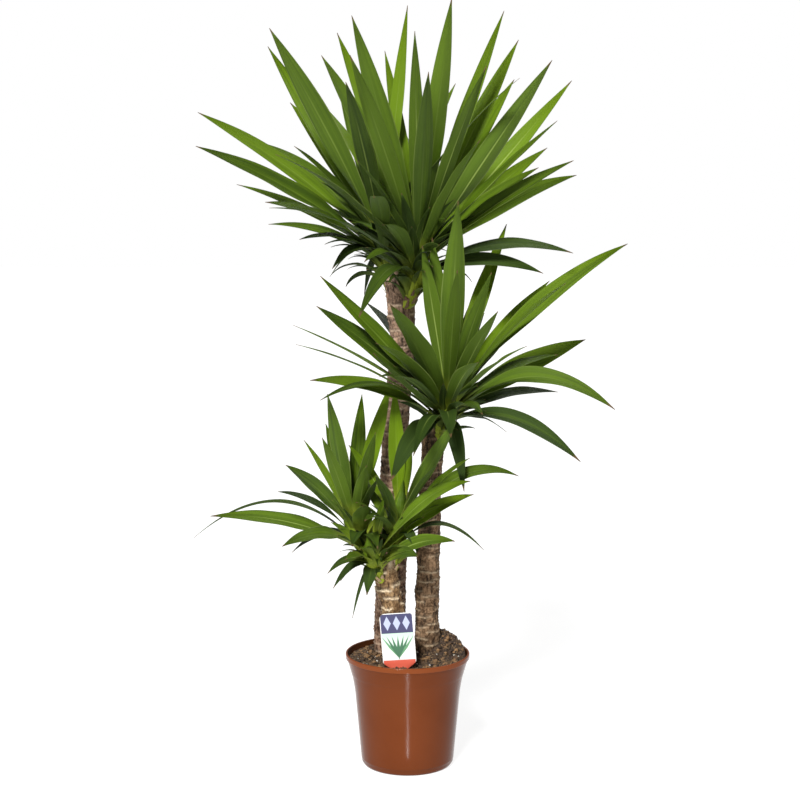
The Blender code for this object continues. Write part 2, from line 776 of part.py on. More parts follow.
def blade_frame(shoot, leaf, share):
    """A blade's middle line, and its side and face directions, twisted to face the front.

    A steep leaf in front of its stem turns the other way, because there it is the back that faces the front.
    """
    middle, along, outward = blade_line(shoot, leaf, share)
    side = np.array([-outward[1], outward[0], 0.0])
    side = side - along * (along @ side)[:, None]
    side /= np.linalg.norm(side, axis=1, keepdims=True)
    face = np.cross(along, side)
    shows_back = leaf.toward > 0 and leaf.up > math.hypot(leaf.across, leaf.toward)
    way = 1 if (side[0][1] > 0) == shows_back else -1
    eased = np.clip(share / BLADE_TWIST_ENDS, 0, 1)
    roll = (way * math.radians(leaf.turn) * abs(outward[0]) * eased**2 * (3 - 2 * eased))[:, None]
    face = np.cos(roll) * face + np.sin(roll) * side
    return middle, np.cross(face, along), face


def blade_rings(shoot, leaf):
    """The rings of one blade, from inside the stem to its tip: a flattening trough, or a flat strap."""
    count = STRAIGHT_BLADE_RINGS if leaf.arch < STRAIGHT_ARCH else BLADE_RINGS
    share = np.linspace(0, 1, count)
    middle, side, face = blade_frame(shoot, leaf, share)
    rise = np.clip(share / BLADE_PEAK, 0, 1)
    fall = np.clip((share - BLADE_PEAK) / (1 - BLADE_PEAK), 0, 1)
    width = (BLADE_NECK + (1 - BLADE_NECK) * np.sin(math.pi / 2 * rise) ** 2) * (1 - fall**2.2)
    half = (np.maximum(width * leaf.width / 100, BLADE_TIP_WIDTH) / 2)[:, None]
    thin = face * BLADE_EDGE / 2
    if leaf.flat or leaf.width < TROUGH_WIDTH:
        section = (
            middle - side * half - thin,
            middle + side * half - thin,
            middle + side * half + thin,
            middle - side * half + thin,
        )
        return np.stack(section, axis=1)
    fold = (FOLD_AT_BASE + (FOLD_AT_TIP - FOLD_AT_BASE) * share)[:, None]
    wing = side * half * np.cos(fold)
    edge = middle + 0.6 * face * half * np.sin(fold)
    low = middle - 0.4 * face * half * np.sin(fold)
    thick = face * (BLADE_MIDDLE - (BLADE_MIDDLE - BLADE_EDGE) * share)[:, None] / 2
    section = (
        edge - wing - thin,
        low - thick,
        edge + wing - thin,
        edge + wing + thin,
        low + thick,
        edge - wing + thin,
    )
    return np.stack(section, axis=1)


def build_soil(group, cutters):
    """The potting mix, with a plain hole for each cane and a slot for the label."""
    soil = new_object("soil", loft("soil", soil_rings()), group, POTTING_MIX)
    for cane in CANES:
        hole = loft(f"hole_{cane.name}", cane_rings(cane, SEAT))
        hide_cutter(new_object(f"hole_{cane.name}", hole, cutters))
    slot = label_mesh("label_slot", LABEL_SLOT)
    hide_cutter(new_object("label_slot", slot, cutters))
    apply_boolean(soil, "DIFFERENCE", group=cutters)
    shade(soil, 60)
    return soil


def build_cane(cane, group):
    """One bare cane."""
    thing = new_object(cane.name, loft(cane.name, cane_rings(cane)), group, cane.finish)
    shade(thing, 60)
    return thing


def build_head(head, grown, group):
    """The shoots of one cane: stems and blades joined in one solid, seated on the cane's side."""
    blades = collection(f"{head.name}_blades")
    first = head.shoots[0]
    base = new_object(head.name, loft(head.name, stem_rings(first)), group)
    for n, shoot in enumerate(head.shoots):
        if n:
            new_object(f"{head.name}_stem_{n}", loft("stem", stem_rings(shoot)), blades)
        for i, leaf in enumerate(grown[shoot]):
            blade = loft("blade", blade_rings(shoot, leaf))
            new_object(f"{head.name}_blade_{n}_{i}", blade, blades)
    apply_boolean(base, "UNION", "MANIFOLD", group=blades)
    remove_collection(blades)
    seat = collection(f"{head.name}_seat")
    cane = new_object(f"{head.name}_seat", loft("seat", cane_rings(head.cane, SEAT)), seat)
    apply_boolean(base, "DIFFERENCE", "MANIFOLD", other=cane)
    remove_collection(seat)
    keep_largest(base.data)
    base.data.materials.clear()
    base.data.materials.append(material(LEAF_GREEN))
    shade(base)
    return base


def label_outline(margin):
    """The label's outline: a card with chamfered top corners that narrows to a pointed stake."""
    half, stake = LABEL_WIDTH / 2 + margin, LABEL_STAKE_WIDTH / 2 + margin
    top, low = LABEL_CARD_HEIGHT + margin, -LABEL_STAKE_DEPTH - margin
    right = [
        (half - LABEL_CHAMFER, top),
        (half, top - LABEL_CHAMFER),
        (half, LABEL_SHOULDER),
        (stake + LABEL_NECK, 0.0),
        (stake, -LABEL_NECK),
        (stake, low + LABEL_STAKE_POINT[1]),
        (stake - LABEL_STAKE_POINT[0], low),
    ]
    return right + [(-x, z) for x, z in reversed(right)]


def label_place():
    """Where the label stands: turned a little about the vertical and leaning a little to the left."""
    return (
        Matrix.Translation(LABEL_PLACE)
        @ Matrix.Rotation(LABEL_TURN, 4, "Z")
        @ Matrix.Rotation(LABEL_LEAN, 4, "Y")
    )


def label_mesh(name, margin=0.0):
    """The label as a flat outline, filled and given its thickness, in its place."""
    outline = bpy.data.curves.new(name, "CURVE")
    outline.dimensions = "2D"
    outline.fill_mode = "BOTH"
    outline.extrude = LABEL_THICKNESS / 2 + margin
    spline = outline.splines.new("POLY")
    points = label_outline(margin)
    spline.points.add(len(points) - 1)
    for point, (x, z) in zip(spline.points, points):
        point.co = (x, z, 0.0, 1.0)
    spline.use_cyclic_u = True
    helper = bpy.data.objects.new(f"{name}_outline", outline)
    bpy.context.scene.collection.objects.link(helper)
    graph = bpy.context.evaluated_depsgraph_get()
    mesh = bpy.data.meshes.new_from_object(helper.evaluated_get(graph))
    bpy.data.objects.remove(helper, do_unlink=True)
    form = bmesh.new()
    form.from_mesh(mesh)
    bmesh.ops.remove_doubles(form, verts=form.verts, dist=1e-5)
    bmesh.ops.transform(form, matrix=Matrix.Rotation(math.pi / 2, 4, "X"), verts=form.verts)
    bmesh.ops.transform(form, matrix=label_place(), verts=form.verts)
    bmesh.ops.recalc_face_normals(form, faces=form.faces)
    form.to_mesh(mesh)
    form.free()
    return mesh


def main():
    """Builds the whole plant."""
    clear_scene()
    plant = collection("potted_yucca")
    pot_cutters = collection("pot_cutters")
    soil_cutters = collection("soil_cutters")
    build_pot(plant, pot_cutters)
    build_soil(plant, soil_cutters)
    for cane in CANES:
        build_cane(cane, plant)
    grown = grow_leaves()
    for head in HEADS:
        build_head(head, grown, plant)
    new_object("label", label_mesh("label"), plant, CARD)
    remove_collection(pot_cutters)
    remove_collection(soil_cutters)


if __name__ == "__main__":
    main()
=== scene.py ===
"""The looks of a potted yucca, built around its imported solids.

Metres, +Z up, and the front of the plant looks to -Y. The leaves, stems, canes, potting mix, pot and label
follow the same named sizes and formulas as the solids that they replace, with finer surfaces.
"""

import logging
import math
import random
from dataclasses import dataclass, field
from enum import Enum

import bpy
import numpy as np
from mathutils import Matrix, Vector


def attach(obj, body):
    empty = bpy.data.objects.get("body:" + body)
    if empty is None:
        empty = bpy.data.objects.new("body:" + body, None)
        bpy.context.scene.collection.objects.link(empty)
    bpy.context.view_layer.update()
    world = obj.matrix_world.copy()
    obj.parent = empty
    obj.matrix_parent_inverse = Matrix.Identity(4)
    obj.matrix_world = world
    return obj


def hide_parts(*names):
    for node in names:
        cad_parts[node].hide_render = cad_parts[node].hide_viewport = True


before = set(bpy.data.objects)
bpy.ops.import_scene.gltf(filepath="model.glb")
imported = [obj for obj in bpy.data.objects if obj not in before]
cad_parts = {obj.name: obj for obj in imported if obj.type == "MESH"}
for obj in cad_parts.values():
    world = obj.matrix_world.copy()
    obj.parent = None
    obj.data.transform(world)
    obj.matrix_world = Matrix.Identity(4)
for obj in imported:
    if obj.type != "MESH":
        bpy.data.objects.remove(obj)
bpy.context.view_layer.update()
LOG = logging.getLogger("yucca")
Colour = tuple[float, float, float]
Point = tuple[float, float, float]
Span = tuple[float, float]
Marks = dict[str, np.ndarray]
ROOT_BODY = "root"
WHITE = (1.0, 1.0, 1.0, 1.0)
FULL_TURN = 2 * math.pi
GOLDEN_ANGLE = math.radians(137.508)
SHARP_EDGE = math.radians(50)
UP = np.array([0.0, 0.0, 1.0])


class Slot(Enum):
    """Material slots."""

    POT = "pot_plastic"
    SOIL = "potting_mix"
    OLD_BARK = "old_bark"
    YOUNG_BARK = "young_bark"
    LEAF = "leaf_green"
    CARD = "printed_card"


def ripple(points: np.ndarray, size: float, seed: int, waves: int = 14) -> np.ndarray:
    """Smooth noise of about -1 to 1: a sum of cosine waves of one wavelength in seeded directions.

    Args:
        points: places, shape (..., 3).
        size: the wavelength.
        seed: picks the directions and phases.
        waves: how many waves are summed.

    Returns:
        The noise at each place, shape (...).
    """
    draw = np.random.default_rng(seed)
    ways = draw.normal(size=(waves, 3))
    ways *= FULL_TURN / size / np.linalg.norm(ways, axis=1, keepdims=True)
    phases = draw.uniform(0, FULL_TURN, waves)
    return np.cos(points @ ways.T + phases).sum(axis=-1) / math.sqrt(waves)


def smoothstep(low: float, high: float, value: np.ndarray) -> np.ndarray:
    """Eases from 0 at low to 1 at high: three squares less two cubes of the share between them."""
    share = np.clip((value - low) / (high - low), 0, 1)
    return share * share * (3 - 2 * share)


def around(count: int) -> np.ndarray:
    """Angles in equal steps round a full turn, without its end."""
    return np.linspace(0, FULL_TURN, count, endpoint=False)


def circled(radius: np.ndarray | float, angles: np.ndarray, height: np.ndarray | float) -> np.ndarray:
    """Points at a radius and an angle about Z and at a height, spread over each other's shapes."""
    return np.stack(np.broadcast_arrays(radius * np.cos(angles), radius * np.sin(angles), height), axis=-1)


def quadratic(start: np.ndarray, bend: np.ndarray, end: np.ndarray, share: np.ndarray) -> np.ndarray:
    """Points of a quadratic curve from a start toward a bend and on to an end.

    The start counts by the square of the rest, the bend by twice the rest times the share, and the end by the
    square of the share.

    Args:
        start: the first point.
        bend: the point that it heads for.
        end: the last point.
        share: shares of the way, with an axis of one for the coordinates.

    Returns:
        The points.
    """
    return (1 - share) ** 2 * start + 2 * share * (1 - share) * bend + share**2 * end


def nearest(points: np.ndarray, others: np.ndarray) -> float:
    """The least distance between two sets of points."""
    return float(np.linalg.norm(points[:, None, :] - others[None, :, :], axis=2).min())


def add_object(name: str, data: bpy.types.ID) -> bpy.types.Object:
    """Puts a new object into the scene.

    Args:
        name: its name.
        data: its mesh, light or camera.

    Returns:
        The object.
    """
    thing = bpy.data.objects.new(name, data)
    bpy.context.scene.collection.objects.link(thing)
    return thing


class Wire:
    """A number in a material. Arithmetic on it adds Math nodes."""

    def __init__(self, graph: "Graph", socket: bpy.types.NodeSocket) -> None:
        """Keeps the graph and the socket that the number comes from."""
        self.graph = graph
        self.socket = socket

    def _math(self, operation: str, *values: "float | Wire") -> "Wire":
        """A Math node on the values."""
        return self.graph.node("ShaderNodeMath", {"operation": operation}, *values)

    def __add__(self, other: "float | Wire") -> "Wire":
        """The sum."""
        return self._math("ADD", self, other)

    __radd__ = __add__

    def __sub__(self, other: "float | Wire") -> "Wire":
        """The difference."""
        return self._math("SUBTRACT", self, other)

    def __rsub__(self, other: "float | Wire") -> "Wire":
        """The difference the other way round."""
        return self._math("SUBTRACT", other, self)

    def __mul__(self, other: "float | Wire") -> "Wire":
        """The product."""
        return self._math("MULTIPLY", self, other)

    __rmul__ = __mul__

    def __truediv__(self, other: "float | Wire") -> "Wire":
        """The quotient."""
        return self._math("DIVIDE", self, other)

    def __abs__(self) -> "Wire":
        """The size without its sign."""
        return self._math("ABSOLUTE", self)

    def sine(self) -> "Wire":
        """The sine of the number in radians."""
        return self._math("SINE", self)

    def eased(self, low: float, high: float) -> "Wire":
        """Eases from 0 at low to 1 at high."""
        settings = {"interpolation_type": "SMOOTHSTEP"}
        return self.graph.node("ShaderNodeMapRange", settings, self, low, high, 0.0, 1.0)

    def window(self, low: float, high: float, soft: float) -> "Wire":
        """1 between low and high, 0 outside, with soft edges."""
        return self.eased(low - soft, low + soft) * (1 - self.eased(high - soft, high + soft))


Value = float | Wire
Paint = Colour | Wire


class Graph:
    """A material's nodes, around one Principled shader."""

    def __init__(self, name: str, specular: float = 0.5) -> None:
        """Makes the material.

        Args:
            name: its name.
            specular: its specular level.
        """
        self.material = bpy.data.materials.new(name)
        self.material.use_nodes = True
        self.tree = self.material.node_tree
        self.shader = self.tree.nodes["Principled BSDF"]
        self.shader.inputs["Specular IOR Level"].default_value = specular

    def feed(self, socket: bpy.types.NodeSocket, value: object) -> None:
        """Gives a socket a link or a fixed value.

        Args:
            socket: the socket.
            value: a link, a number, a colour or a vector, or None to leave the socket as it is.
        """
        if isinstance(value, Wire):
            self.tree.links.new(value.socket, socket)
        elif value is not None:
            wants_alpha = socket.type == "RGBA" and len(value) == 3
            socket.default_value = (*value, 1.0) if wants_alpha else value

    def node(self, kind: str, settings: dict | None = None, *values: object, output: int = 0) -> Wire:
        """Adds any node.

        Args:
            kind: the node's type.
            settings: its own settings, made before its sockets are fed.
            *values: links or fixed values for its first sockets, in order, None to leave one as it is.
            output: which of its outputs is returned.

        Returns:
            The output.
        """
        made = self.tree.nodes.new(kind)
        for key, value in (settings or {}).items():
            setattr(made, key, value)
        for socket, value in zip(made.inputs, values):
            self.feed(socket, value)
        return Wire(self, made.outputs[output])

    def mix(self, share: Value, first: Paint, second: Paint) -> Wire:
        """A colour between two."""
        settings = {"data_type": "RGBA", "clamp_factor": True}
        return self.node("ShaderNodeMix", settings, share, *[None] * 5, first, second, output=2)

    def noise(self, place: Wire, scale: float, detail: float, rough: float = 0.55) -> Wire:
        """Fractal noise of 0 to 1 at a place."""
        return self.node("ShaderNodeTexNoise", {}, place, None, scale, detail, rough)

    def stretched(self, x: Value, y: Value, z: Value, detail: float, rough: float = 0.55) -> Wire:
        """Fractal noise of 0 to 1 at a place whose three numbers each have a scale of their own."""
        return self.noise(self.node("ShaderNodeCombineXYZ", {}, x, y, z), 1.0, detail, rough)

    def place(self) -> Wire:
        """The place on the object in metres."""
        return self.node("ShaderNodeTexCoord", output=3)

    def parts(self, vector: Wire) -> tuple[Wire, ...]:
        """A vector's three numbers."""
        split = self.node("ShaderNodeSeparateXYZ", {}, vector).socket.node
        return tuple(Wire(self, output) for output in split.outputs)

    def map_parts(self) -> tuple[Wire, ...]:
        """The two numbers of the piece's own map."""
        return self.parts(self.node("ShaderNodeTexCoord", output=2))[:2]

    def mark(self, name: str) -> Wire:
        """A number that the mesh carries at each point."""
        return self.node("ShaderNodeAttribute", {"attribute_name": name}, output=2)

    def bump(self, height: Wire, depth: float, strength: float, under: Wire | None = None) -> Wire:
        """A normal from a height.

        Args:
            height: the height in shares of the depth.
            depth: the depth in metres.
            strength: how much of it shows.
            under: another normal that it lies on, if there is one.

        Returns:
            The normal.
        """
        made = self.node("ShaderNodeBump", {}, strength, depth)
        inputs = made.socket.node.inputs
        self.feed(inputs["Height"], height)
        self.feed(inputs["Normal"], under)
        return made

    def finish(self, colour: Paint, rough: Value, normal: Wire | None = None) -> bpy.types.Material:
        """Feeds the shader.

        Args:
            colour: the base colour.
            rough: the roughness.
            normal: the normal, if it isn't plain.

        Returns:
            The material.
        """
        for name, value in {"Base Color": colour, "Roughness": rough, "Normal": normal}.items():
            self.feed(self.shader.inputs[name], value)
        return self.material


@dataclass(frozen=True)
class LeafFinish:
    """Waxy leaves: striped green, a pale middle that is partly a painted highlight along the fold, a pale
    margin, a pale neck brightened further as painted light, a dry tip, greyer when old and beneath.
    """

    name: str = "leaf_green"
    bright: Colour = (0.128, 0.216, 0.006)
    deep: Colour = (0.022, 0.048, 0.003)
    old: Colour = (0.030, 0.052, 0.011)
    under: Colour = (0.050, 0.085, 0.022)
    # The pale green of the midrib, also used as a painted highlight along the fold on some leaves.
    pale_and_highlight: Colour = (0.330, 0.430, 0.100)
    # The pale leaf base, made brighter than its own colour as painted light in the shaded heart of each
    # rosette.
    neck: Colour = (0.450, 0.530, 0.045)
    neck_length: float = 0.036
    dry: Colour = (0.130, 0.080, 0.035)
    edge: Colour = (0.260, 0.320, 0.090)
    specular: float = 0.14
    rough: float = 0.40
    vein_pitch: float = 150.0
    vein_depth: float = 0.00035

    def material(self) -> bpy.types.Material:
        """The leaf material, on the blade's map: across from edge to edge, and along from root to tip."""
        g = Graph(self.name, self.specular)
        across, along = g.map_parts()
        tone, age, beneath = g.mark("tone"), g.mark("age"), g.mark("beneath")
        from_middle = abs(across * 2 - 1)
        lanes = g.stretched(across * 5, along * 0.7, tone * 90, 2.0)
        streaks = g.stretched(across * 26, along * 1.4, tone * 40, 3.0)
        clouds = g.stretched(across * 2, along * 5, tone * 60, 2.0)
        chance = g.stretched(tone * 400, 0.0, 0.0, 0.0)
        lightness = tone * 0.95 + lanes * 0.85 + streaks * 0.65 + clouds * 0.35 - 0.97 - 0.30 * age
        green = g.mix(lightness.eased(-0.15, 0.90), self.deep, self.bright)
        green = g.mix(age * 0.60, green, self.old)
        green = g.mix(beneath * 0.40, green, self.under)
        # The pale midrib near the base: strong on some leaves, where it is a painted highlight along the
        # fold.
        rib_width = 0.10 + 0.22 * (1 - along.eased(0.02, 0.30))
        midrib_and_highlight = 1 - (from_middle / rib_width).eased(0.20, 1.00)
        midrib_and_highlight = midrib_and_highlight * (0.15 + 0.75 * chance.eased(0.48, 0.57)) * (1 - 0.7 * age)
        green = g.mix(midrib_and_highlight * (1 - along.eased(0.45, 0.85)), green, self.pale_and_highlight)
        # The pale neck near the stem, brightened as painted light where the rosette's heart lies in shade.
        pale_neck_and_painted_light = 1 - (along / g.mark("neck")).eased(0.3, 1.6)
        pale_neck_and_painted_light = pale_neck_and_painted_light * (0.32 + 0.63 * chance.eased(0.40, 0.54)) * (1 - 0.8 * age)
        green = g.mix(pale_neck_and_painted_light, green, self.neck)
        margin = from_middle.eased(0.90, 0.97) * (1 - along.eased(0.55, 0.95)) * streaks.eased(0.40, 0.60)
        green = g.mix(margin * (0.65 - 0.5 * age), green, self.edge)
        tip = along + clouds * 0.02 + tone * 0.02 + age * 0.03
        green = g.mix(tip.eased(0.990, 1.020), green, self.dry)
        veins = (across * self.vein_pitch).sine() * 0.5 + streaks * 2 + lanes
        rough = self.rough + 0.10 * beneath + 0.15 * age + 0.08 * clouds
        return g.finish(green, rough, g.bump(veins, self.vein_depth, 0.9))


@dataclass(frozen=True)
class BarkFinish:
    """Dry bark: mottled, with painted shade in its cracks, pale scar ridges that are partly painted
    highlights, painted shade in the hollows over them, and painted light high up.
    """

    name: str
    light: Colour
    dark: Colour
    # The pale colour of the scars and crown, also used for the painted highlights on the ledges and for
    # painted light high up.
    pale_scar_and_painted_light: Colour
    # The near-black colour of the painted shade in the cracks, in the hollows over the scars and on the cut
    # top.
    painted_shade: Colour
    # How much the bark is lightened toward the top as painted light where the leaves shade it, and between
    # which heights.
    painted_light_above: float = 0.0
    painted_light_heights: Span = (0.40, 0.66)
    specular: float = 0.25
    rough: float = 0.88
    relief: float = 0.0014

    def material(self) -> bpy.types.Material:
        """The bark material."""
        g = Graph(self.name, self.specular)
        place = g.place()
        x, y, z = g.parts(place)
        mottle = g.noise(place, 210.0, 6.0, 0.65)
        patches = g.noise(place, 55.0, 4.0, 0.60)
        fibres = g.stretched(x * 300, y * 300, z * 70, 4.0)
        cracks = g.stretched(x * 170, y * 170, z * 34, 3.0, 0.6)
        bark = g.mix((mottle * 0.60 + patches * 0.55 - 0.07).eased(0.40, 0.62), self.dark, self.light)
        # Painted light: the bark is lightened toward the top, where the leaves shade it.
        bark = g.mix(z.eased(*self.painted_light_heights) * self.painted_light_above, bark, self.pale_scar_and_painted_light)
        bark = g.mix(fibres.eased(0.50, 0.64) * 0.55, bark, self.dark)
        # Painted shade: the cracks are darkened with the shade colour.
        bark = g.mix(cracks.eased(0.55, 0.62) * 0.80, bark, self.painted_shade)
        # Painted shade in the hollows over the scar lines and on the cut top, carried by the mesh.
        bark = g.mix(g.mark("painted_shade") * 0.75, bark, self.painted_shade)
        # Pale scar edges, partly painted highlights where the ledges would catch the light.
        scar_pallor_and_highlight = g.mark("pale_scar_and_painted_light") * (mottle * 0.5 + patches * 0.5 + 0.28).eased(0.55, 0.85)
        bark = g.mix(scar_pallor_and_highlight, bark, self.pale_scar_and_painted_light)
        height = fibres * 0.6 + mottle - cracks.eased(0.5, 0.65)
        return g.finish(bark, self.rough - 0.18 * scar_pallor_and_highlight, g.bump(height, self.relief, 0.8))


OLD_BARK = BarkFinish(
    "old_bark",
    light=(0.290, 0.180, 0.100),
    dark=(0.066, 0.036, 0.017),
    pale_scar_and_painted_light=(0.520, 0.400, 0.260),
    painted_shade=(0.016, 0.009, 0.005),
)
RED_BARK = BarkFinish(
    "red_bark",
    light=(0.430, 0.262, 0.170),
    dark=(0.100, 0.053, 0.033),
    pale_scar_and_painted_light=(0.640, 0.480, 0.340),
    painted_shade=(0.012, 0.006, 0.004),
    painted_light_above=0.15,
)
YOUNG_BARK = BarkFinish(
    "young_bark",
    light=(0.380, 0.240, 0.115),
    dark=(0.110, 0.058, 0.024),
    pale_scar_and_painted_light=(0.860, 0.700, 0.480),
    painted_shade=(0.030, 0.014, 0.006),
)


@dataclass(frozen=True)
class PaperyFinish:
    """Dry, papery leaf bases: tan with fine fibres along them."""

    name: str = "papery_bases"
    light: Colour = (0.520, 0.370, 0.200)
    dark: Colour = (0.130, 0.065, 0.028)
    rough: float = 0.75
    relief: float = 0.0005

    def material(self) -> bpy.types.Material:
        """The papery material."""
        g = Graph(self.name)
        across, along = g.map_parts()
        tone = g.mark("tone")
        fibres = g.stretched(across * 22, along * 1.5, tone * 30, 4.0)
        colour = g.mix((fibres + tone * 0.9 - 0.55).eased(0.2, 0.8), self.dark, self.light)
        return g.finish(colour, self.rough, g.bump(fibres, self.relief, 0.7))


@dataclass(frozen=True)
class SoilFinish:
    """Damp potting mix: brown crumbs, and near-black painted shade in the hollows between them."""

    name: str = "potting_mix"
    # The near-black colour of the painted shade in the hollows.
    dark: Colour = (0.014, 0.008, 0.005)
    middle: Colour = (0.060, 0.032, 0.016)
    light: Colour = (0.150, 0.088, 0.042)
    rough: float = 0.92
    relief: float = 0.0020

    def material(self) -> bpy.types.Material:
        """The soil material."""
        g = Graph(self.name)
        place = g.place()
        crumbs = g.noise(place, 420.0, 5.0, 0.7)
        patches = g.noise(place, 90.0, 3.0)
        # Painted shade: near-black where the crumbs' height is low.
        colour = g.mix(crumbs.eased(0.35, 0.60), self.dark, self.middle)
        colour = g.mix((crumbs * 0.6 + patches * 0.5).eased(0.58, 0.75), colour, self.light)
        return g.finish(colour, self.rough - 0.15 * patches, g.bump(crumbs, self.relief, 0.9))


@dataclass(frozen=True)
class GrainFinish:
    """Loose grains: each has its own tone between two colours, with a fine grain."""

    name: str
    dark: Colour
    light: Colour
    rough: float
    grain: float
    relief: float = 0.0006

    def material(self) -> bpy.types.Material:
        """The grain material."""
        g = Graph(self.name)
        speck = g.noise(g.place(), self.grain, 4.0, 0.6)
        colour = g.mix((g.mark("tone") * 0.9 + speck * 0.5 - 0.2).eased(0.0, 1.0), self.dark, self.light)
        return g.finish(colour, self.rough - 0.1 * speck, g.bump(speck, self.relief, 0.8))


CHIPS = GrainFinish("bark_chips", (0.030, 0.014, 0.006), (0.230, 0.125, 0.050), 0.80, 300.0)
CRUMBS = GrainFinish("soil_crumbs", (0.014, 0.008, 0.004), (0.150, 0.092, 0.045), 0.90, 600.0)
PERLITE = GrainFinish("perlite", (0.520, 0.480, 0.400), (0.900, 0.880, 0.820), 0.70, 500.0)
ROOTLETS = GrainFinish("rootlets", (0.080, 0.045, 0.022), (0.420, 0.270, 0.130), 0.85, 300.0)


@dataclass(frozen=True)
class PotFinish:
    """Terracotta-brown moulded plastic: faint cloudiness, a lip painted lighter as a highlight, and soil
    marks inside.
    """

    name: str = "pot_plastic"
    body: Colour = (0.113, 0.0252, 0.0046)
    warm: Colour = (0.122, 0.0282, 0.0060)
    # The lip's colour, lighter than the body: a painted highlight where the lip catches the light.
    lip_highlight: Colour = (0.210, 0.052, 0.0130)
    stain: Colour = (0.030, 0.015, 0.007)
    lip_highlight_heights: Span = (0.184, 0.1865)
    specular: float = 0.13
    rough: float = 0.12
    unevenness: float = 0.0030
    grain: float = 0.00010

    def material(self) -> bpy.types.Material:
        """The pot's material."""
        g = Graph(self.name, self.specular)
        place = g.place()
        x, y, z = g.parts(place)
        clouds = g.noise(place, 14.0, 4.0)
        scuffs = g.stretched(x * 60, y * 60, z * 420, 3.0)
        speck = g.noise(place, 900.0, 2.0)
        colour = g.mix(clouds.eased(0.35, 0.65), self.body, self.warm)
        # Painted highlight: the top of the lip is lighter.
        colour = g.mix(z.eased(*self.lip_highlight_heights) * 0.6, colour, self.lip_highlight)
        colour = g.mix(g.mark("inside") * (0.55 + 0.4 * clouds), colour, self.stain)
        rough = self.rough + 0.08 * clouds + 0.10 * scuffs.eased(0.55, 0.75)
        normal = g.bump(clouds, self.unevenness, 0.05)
        return g.finish(colour, rough, g.bump(speck, self.grain, 0.35, under=normal))


@dataclass(frozen=True)
class CardFinish:
    """A printed card: a dark panel with pale drops, a pale one with a green sprig, and an orange foot.

    Its measures are millimetres from the middle of the card's foot.
    """

    name: str = "printed_card"
    white: Colour = (0.800, 0.800, 0.780)
    night: Colour = (0.045, 0.045, 0.110)
    drop: Colour = (0.400, 0.440, 0.600)
    orange: Colour = (0.640, 0.110, 0.065)
    sage: Colour = (0.110, 0.270, 0.130)
    fern: Colour = (0.045, 0.140, 0.070)
    mist: Colour = (0.480, 0.640, 0.520)
    print_across: Span = (-26.8, 26.8)
    print_heights: Span = (-60.0, 92.8)
    mist_heights: Span = (18.0, 60.0)
    sprig_foot: float = 17.0
    sprig_leans: tuple[float, ...] = (-1.15, -0.8, -0.42, 0.0, 0.42, 0.8, 1.15)
    panel_heights: Span = (60.0, 95.0)
    drop_places: tuple[float, ...] = (-16.0, 0.0, 16.0)
    drop_height: float = 77.0
    drop_half: Span = (6.4, 12.5)
    orange_edge: Span = (13.8, 14.2)
    rough: float = 0.28
    relief: float = 0.0004

    def material(self) -> bpy.types.Material:
        """The card's material, drawn on its map."""
        g = Graph(self.name)
        x, z = g.map_parts()
        printed = x.window(*self.print_across, 0.15) * z.window(*self.print_heights, 0.15) * g.mark("front")
        paint = g.mix(z.eased(*self.mist_heights), self.white, self.mist)
        height = z - self.sprig_foot
        for lean in self.sprig_leans:
            blade = abs(x - lean * height * 0.62) + abs(height - 18) * 0.14
            shade = self.sage if int(abs(lean) * 10) % 4 else self.fern
            paint = g.mix(1 - blade.eased(2.4, 3.2), paint, shade)
        panel = z.window(*self.panel_heights, 0.2)
        paint = g.mix(panel, paint, self.night)
        half_width, half_height = self.drop_half
        for middle in self.drop_places:
            from_drop = abs(x - middle) / half_width + abs(z - self.drop_height) / half_height
            paint = g.mix((1 - from_drop.eased(0.90, 1.04)) * panel, paint, self.drop)
        paint = g.mix(1 - z.eased(*self.orange_edge), paint, self.orange)
        haze = g.noise(g.place(), 120.0, 3.0)
        colour = g.mix(printed, self.white, paint)
        return g.finish(colour, self.rough + 0.12 * haze, g.bump(haze, self.relief, 0.2))


@dataclass(frozen=True)
class FloorFinish:
    """A plain pale floor that glows a little, as a lit table does, so that shadows on it stay faint."""

    name: str = "pale_floor"
    colour: Colour = (0.260, 0.260, 0.258)
    glow: float = 0.84
    rough: float = 0.85

    def material(self) -> bpy.types.Material:
        """The floor's material."""
        g = Graph(self.name, specular=0.0)
        g.feed(g.shader.inputs["Emission Color"], WHITE)
        g.feed(g.shader.inputs["Emission Strength"], self.glow)
        return g.finish(self.colour, self.rough)


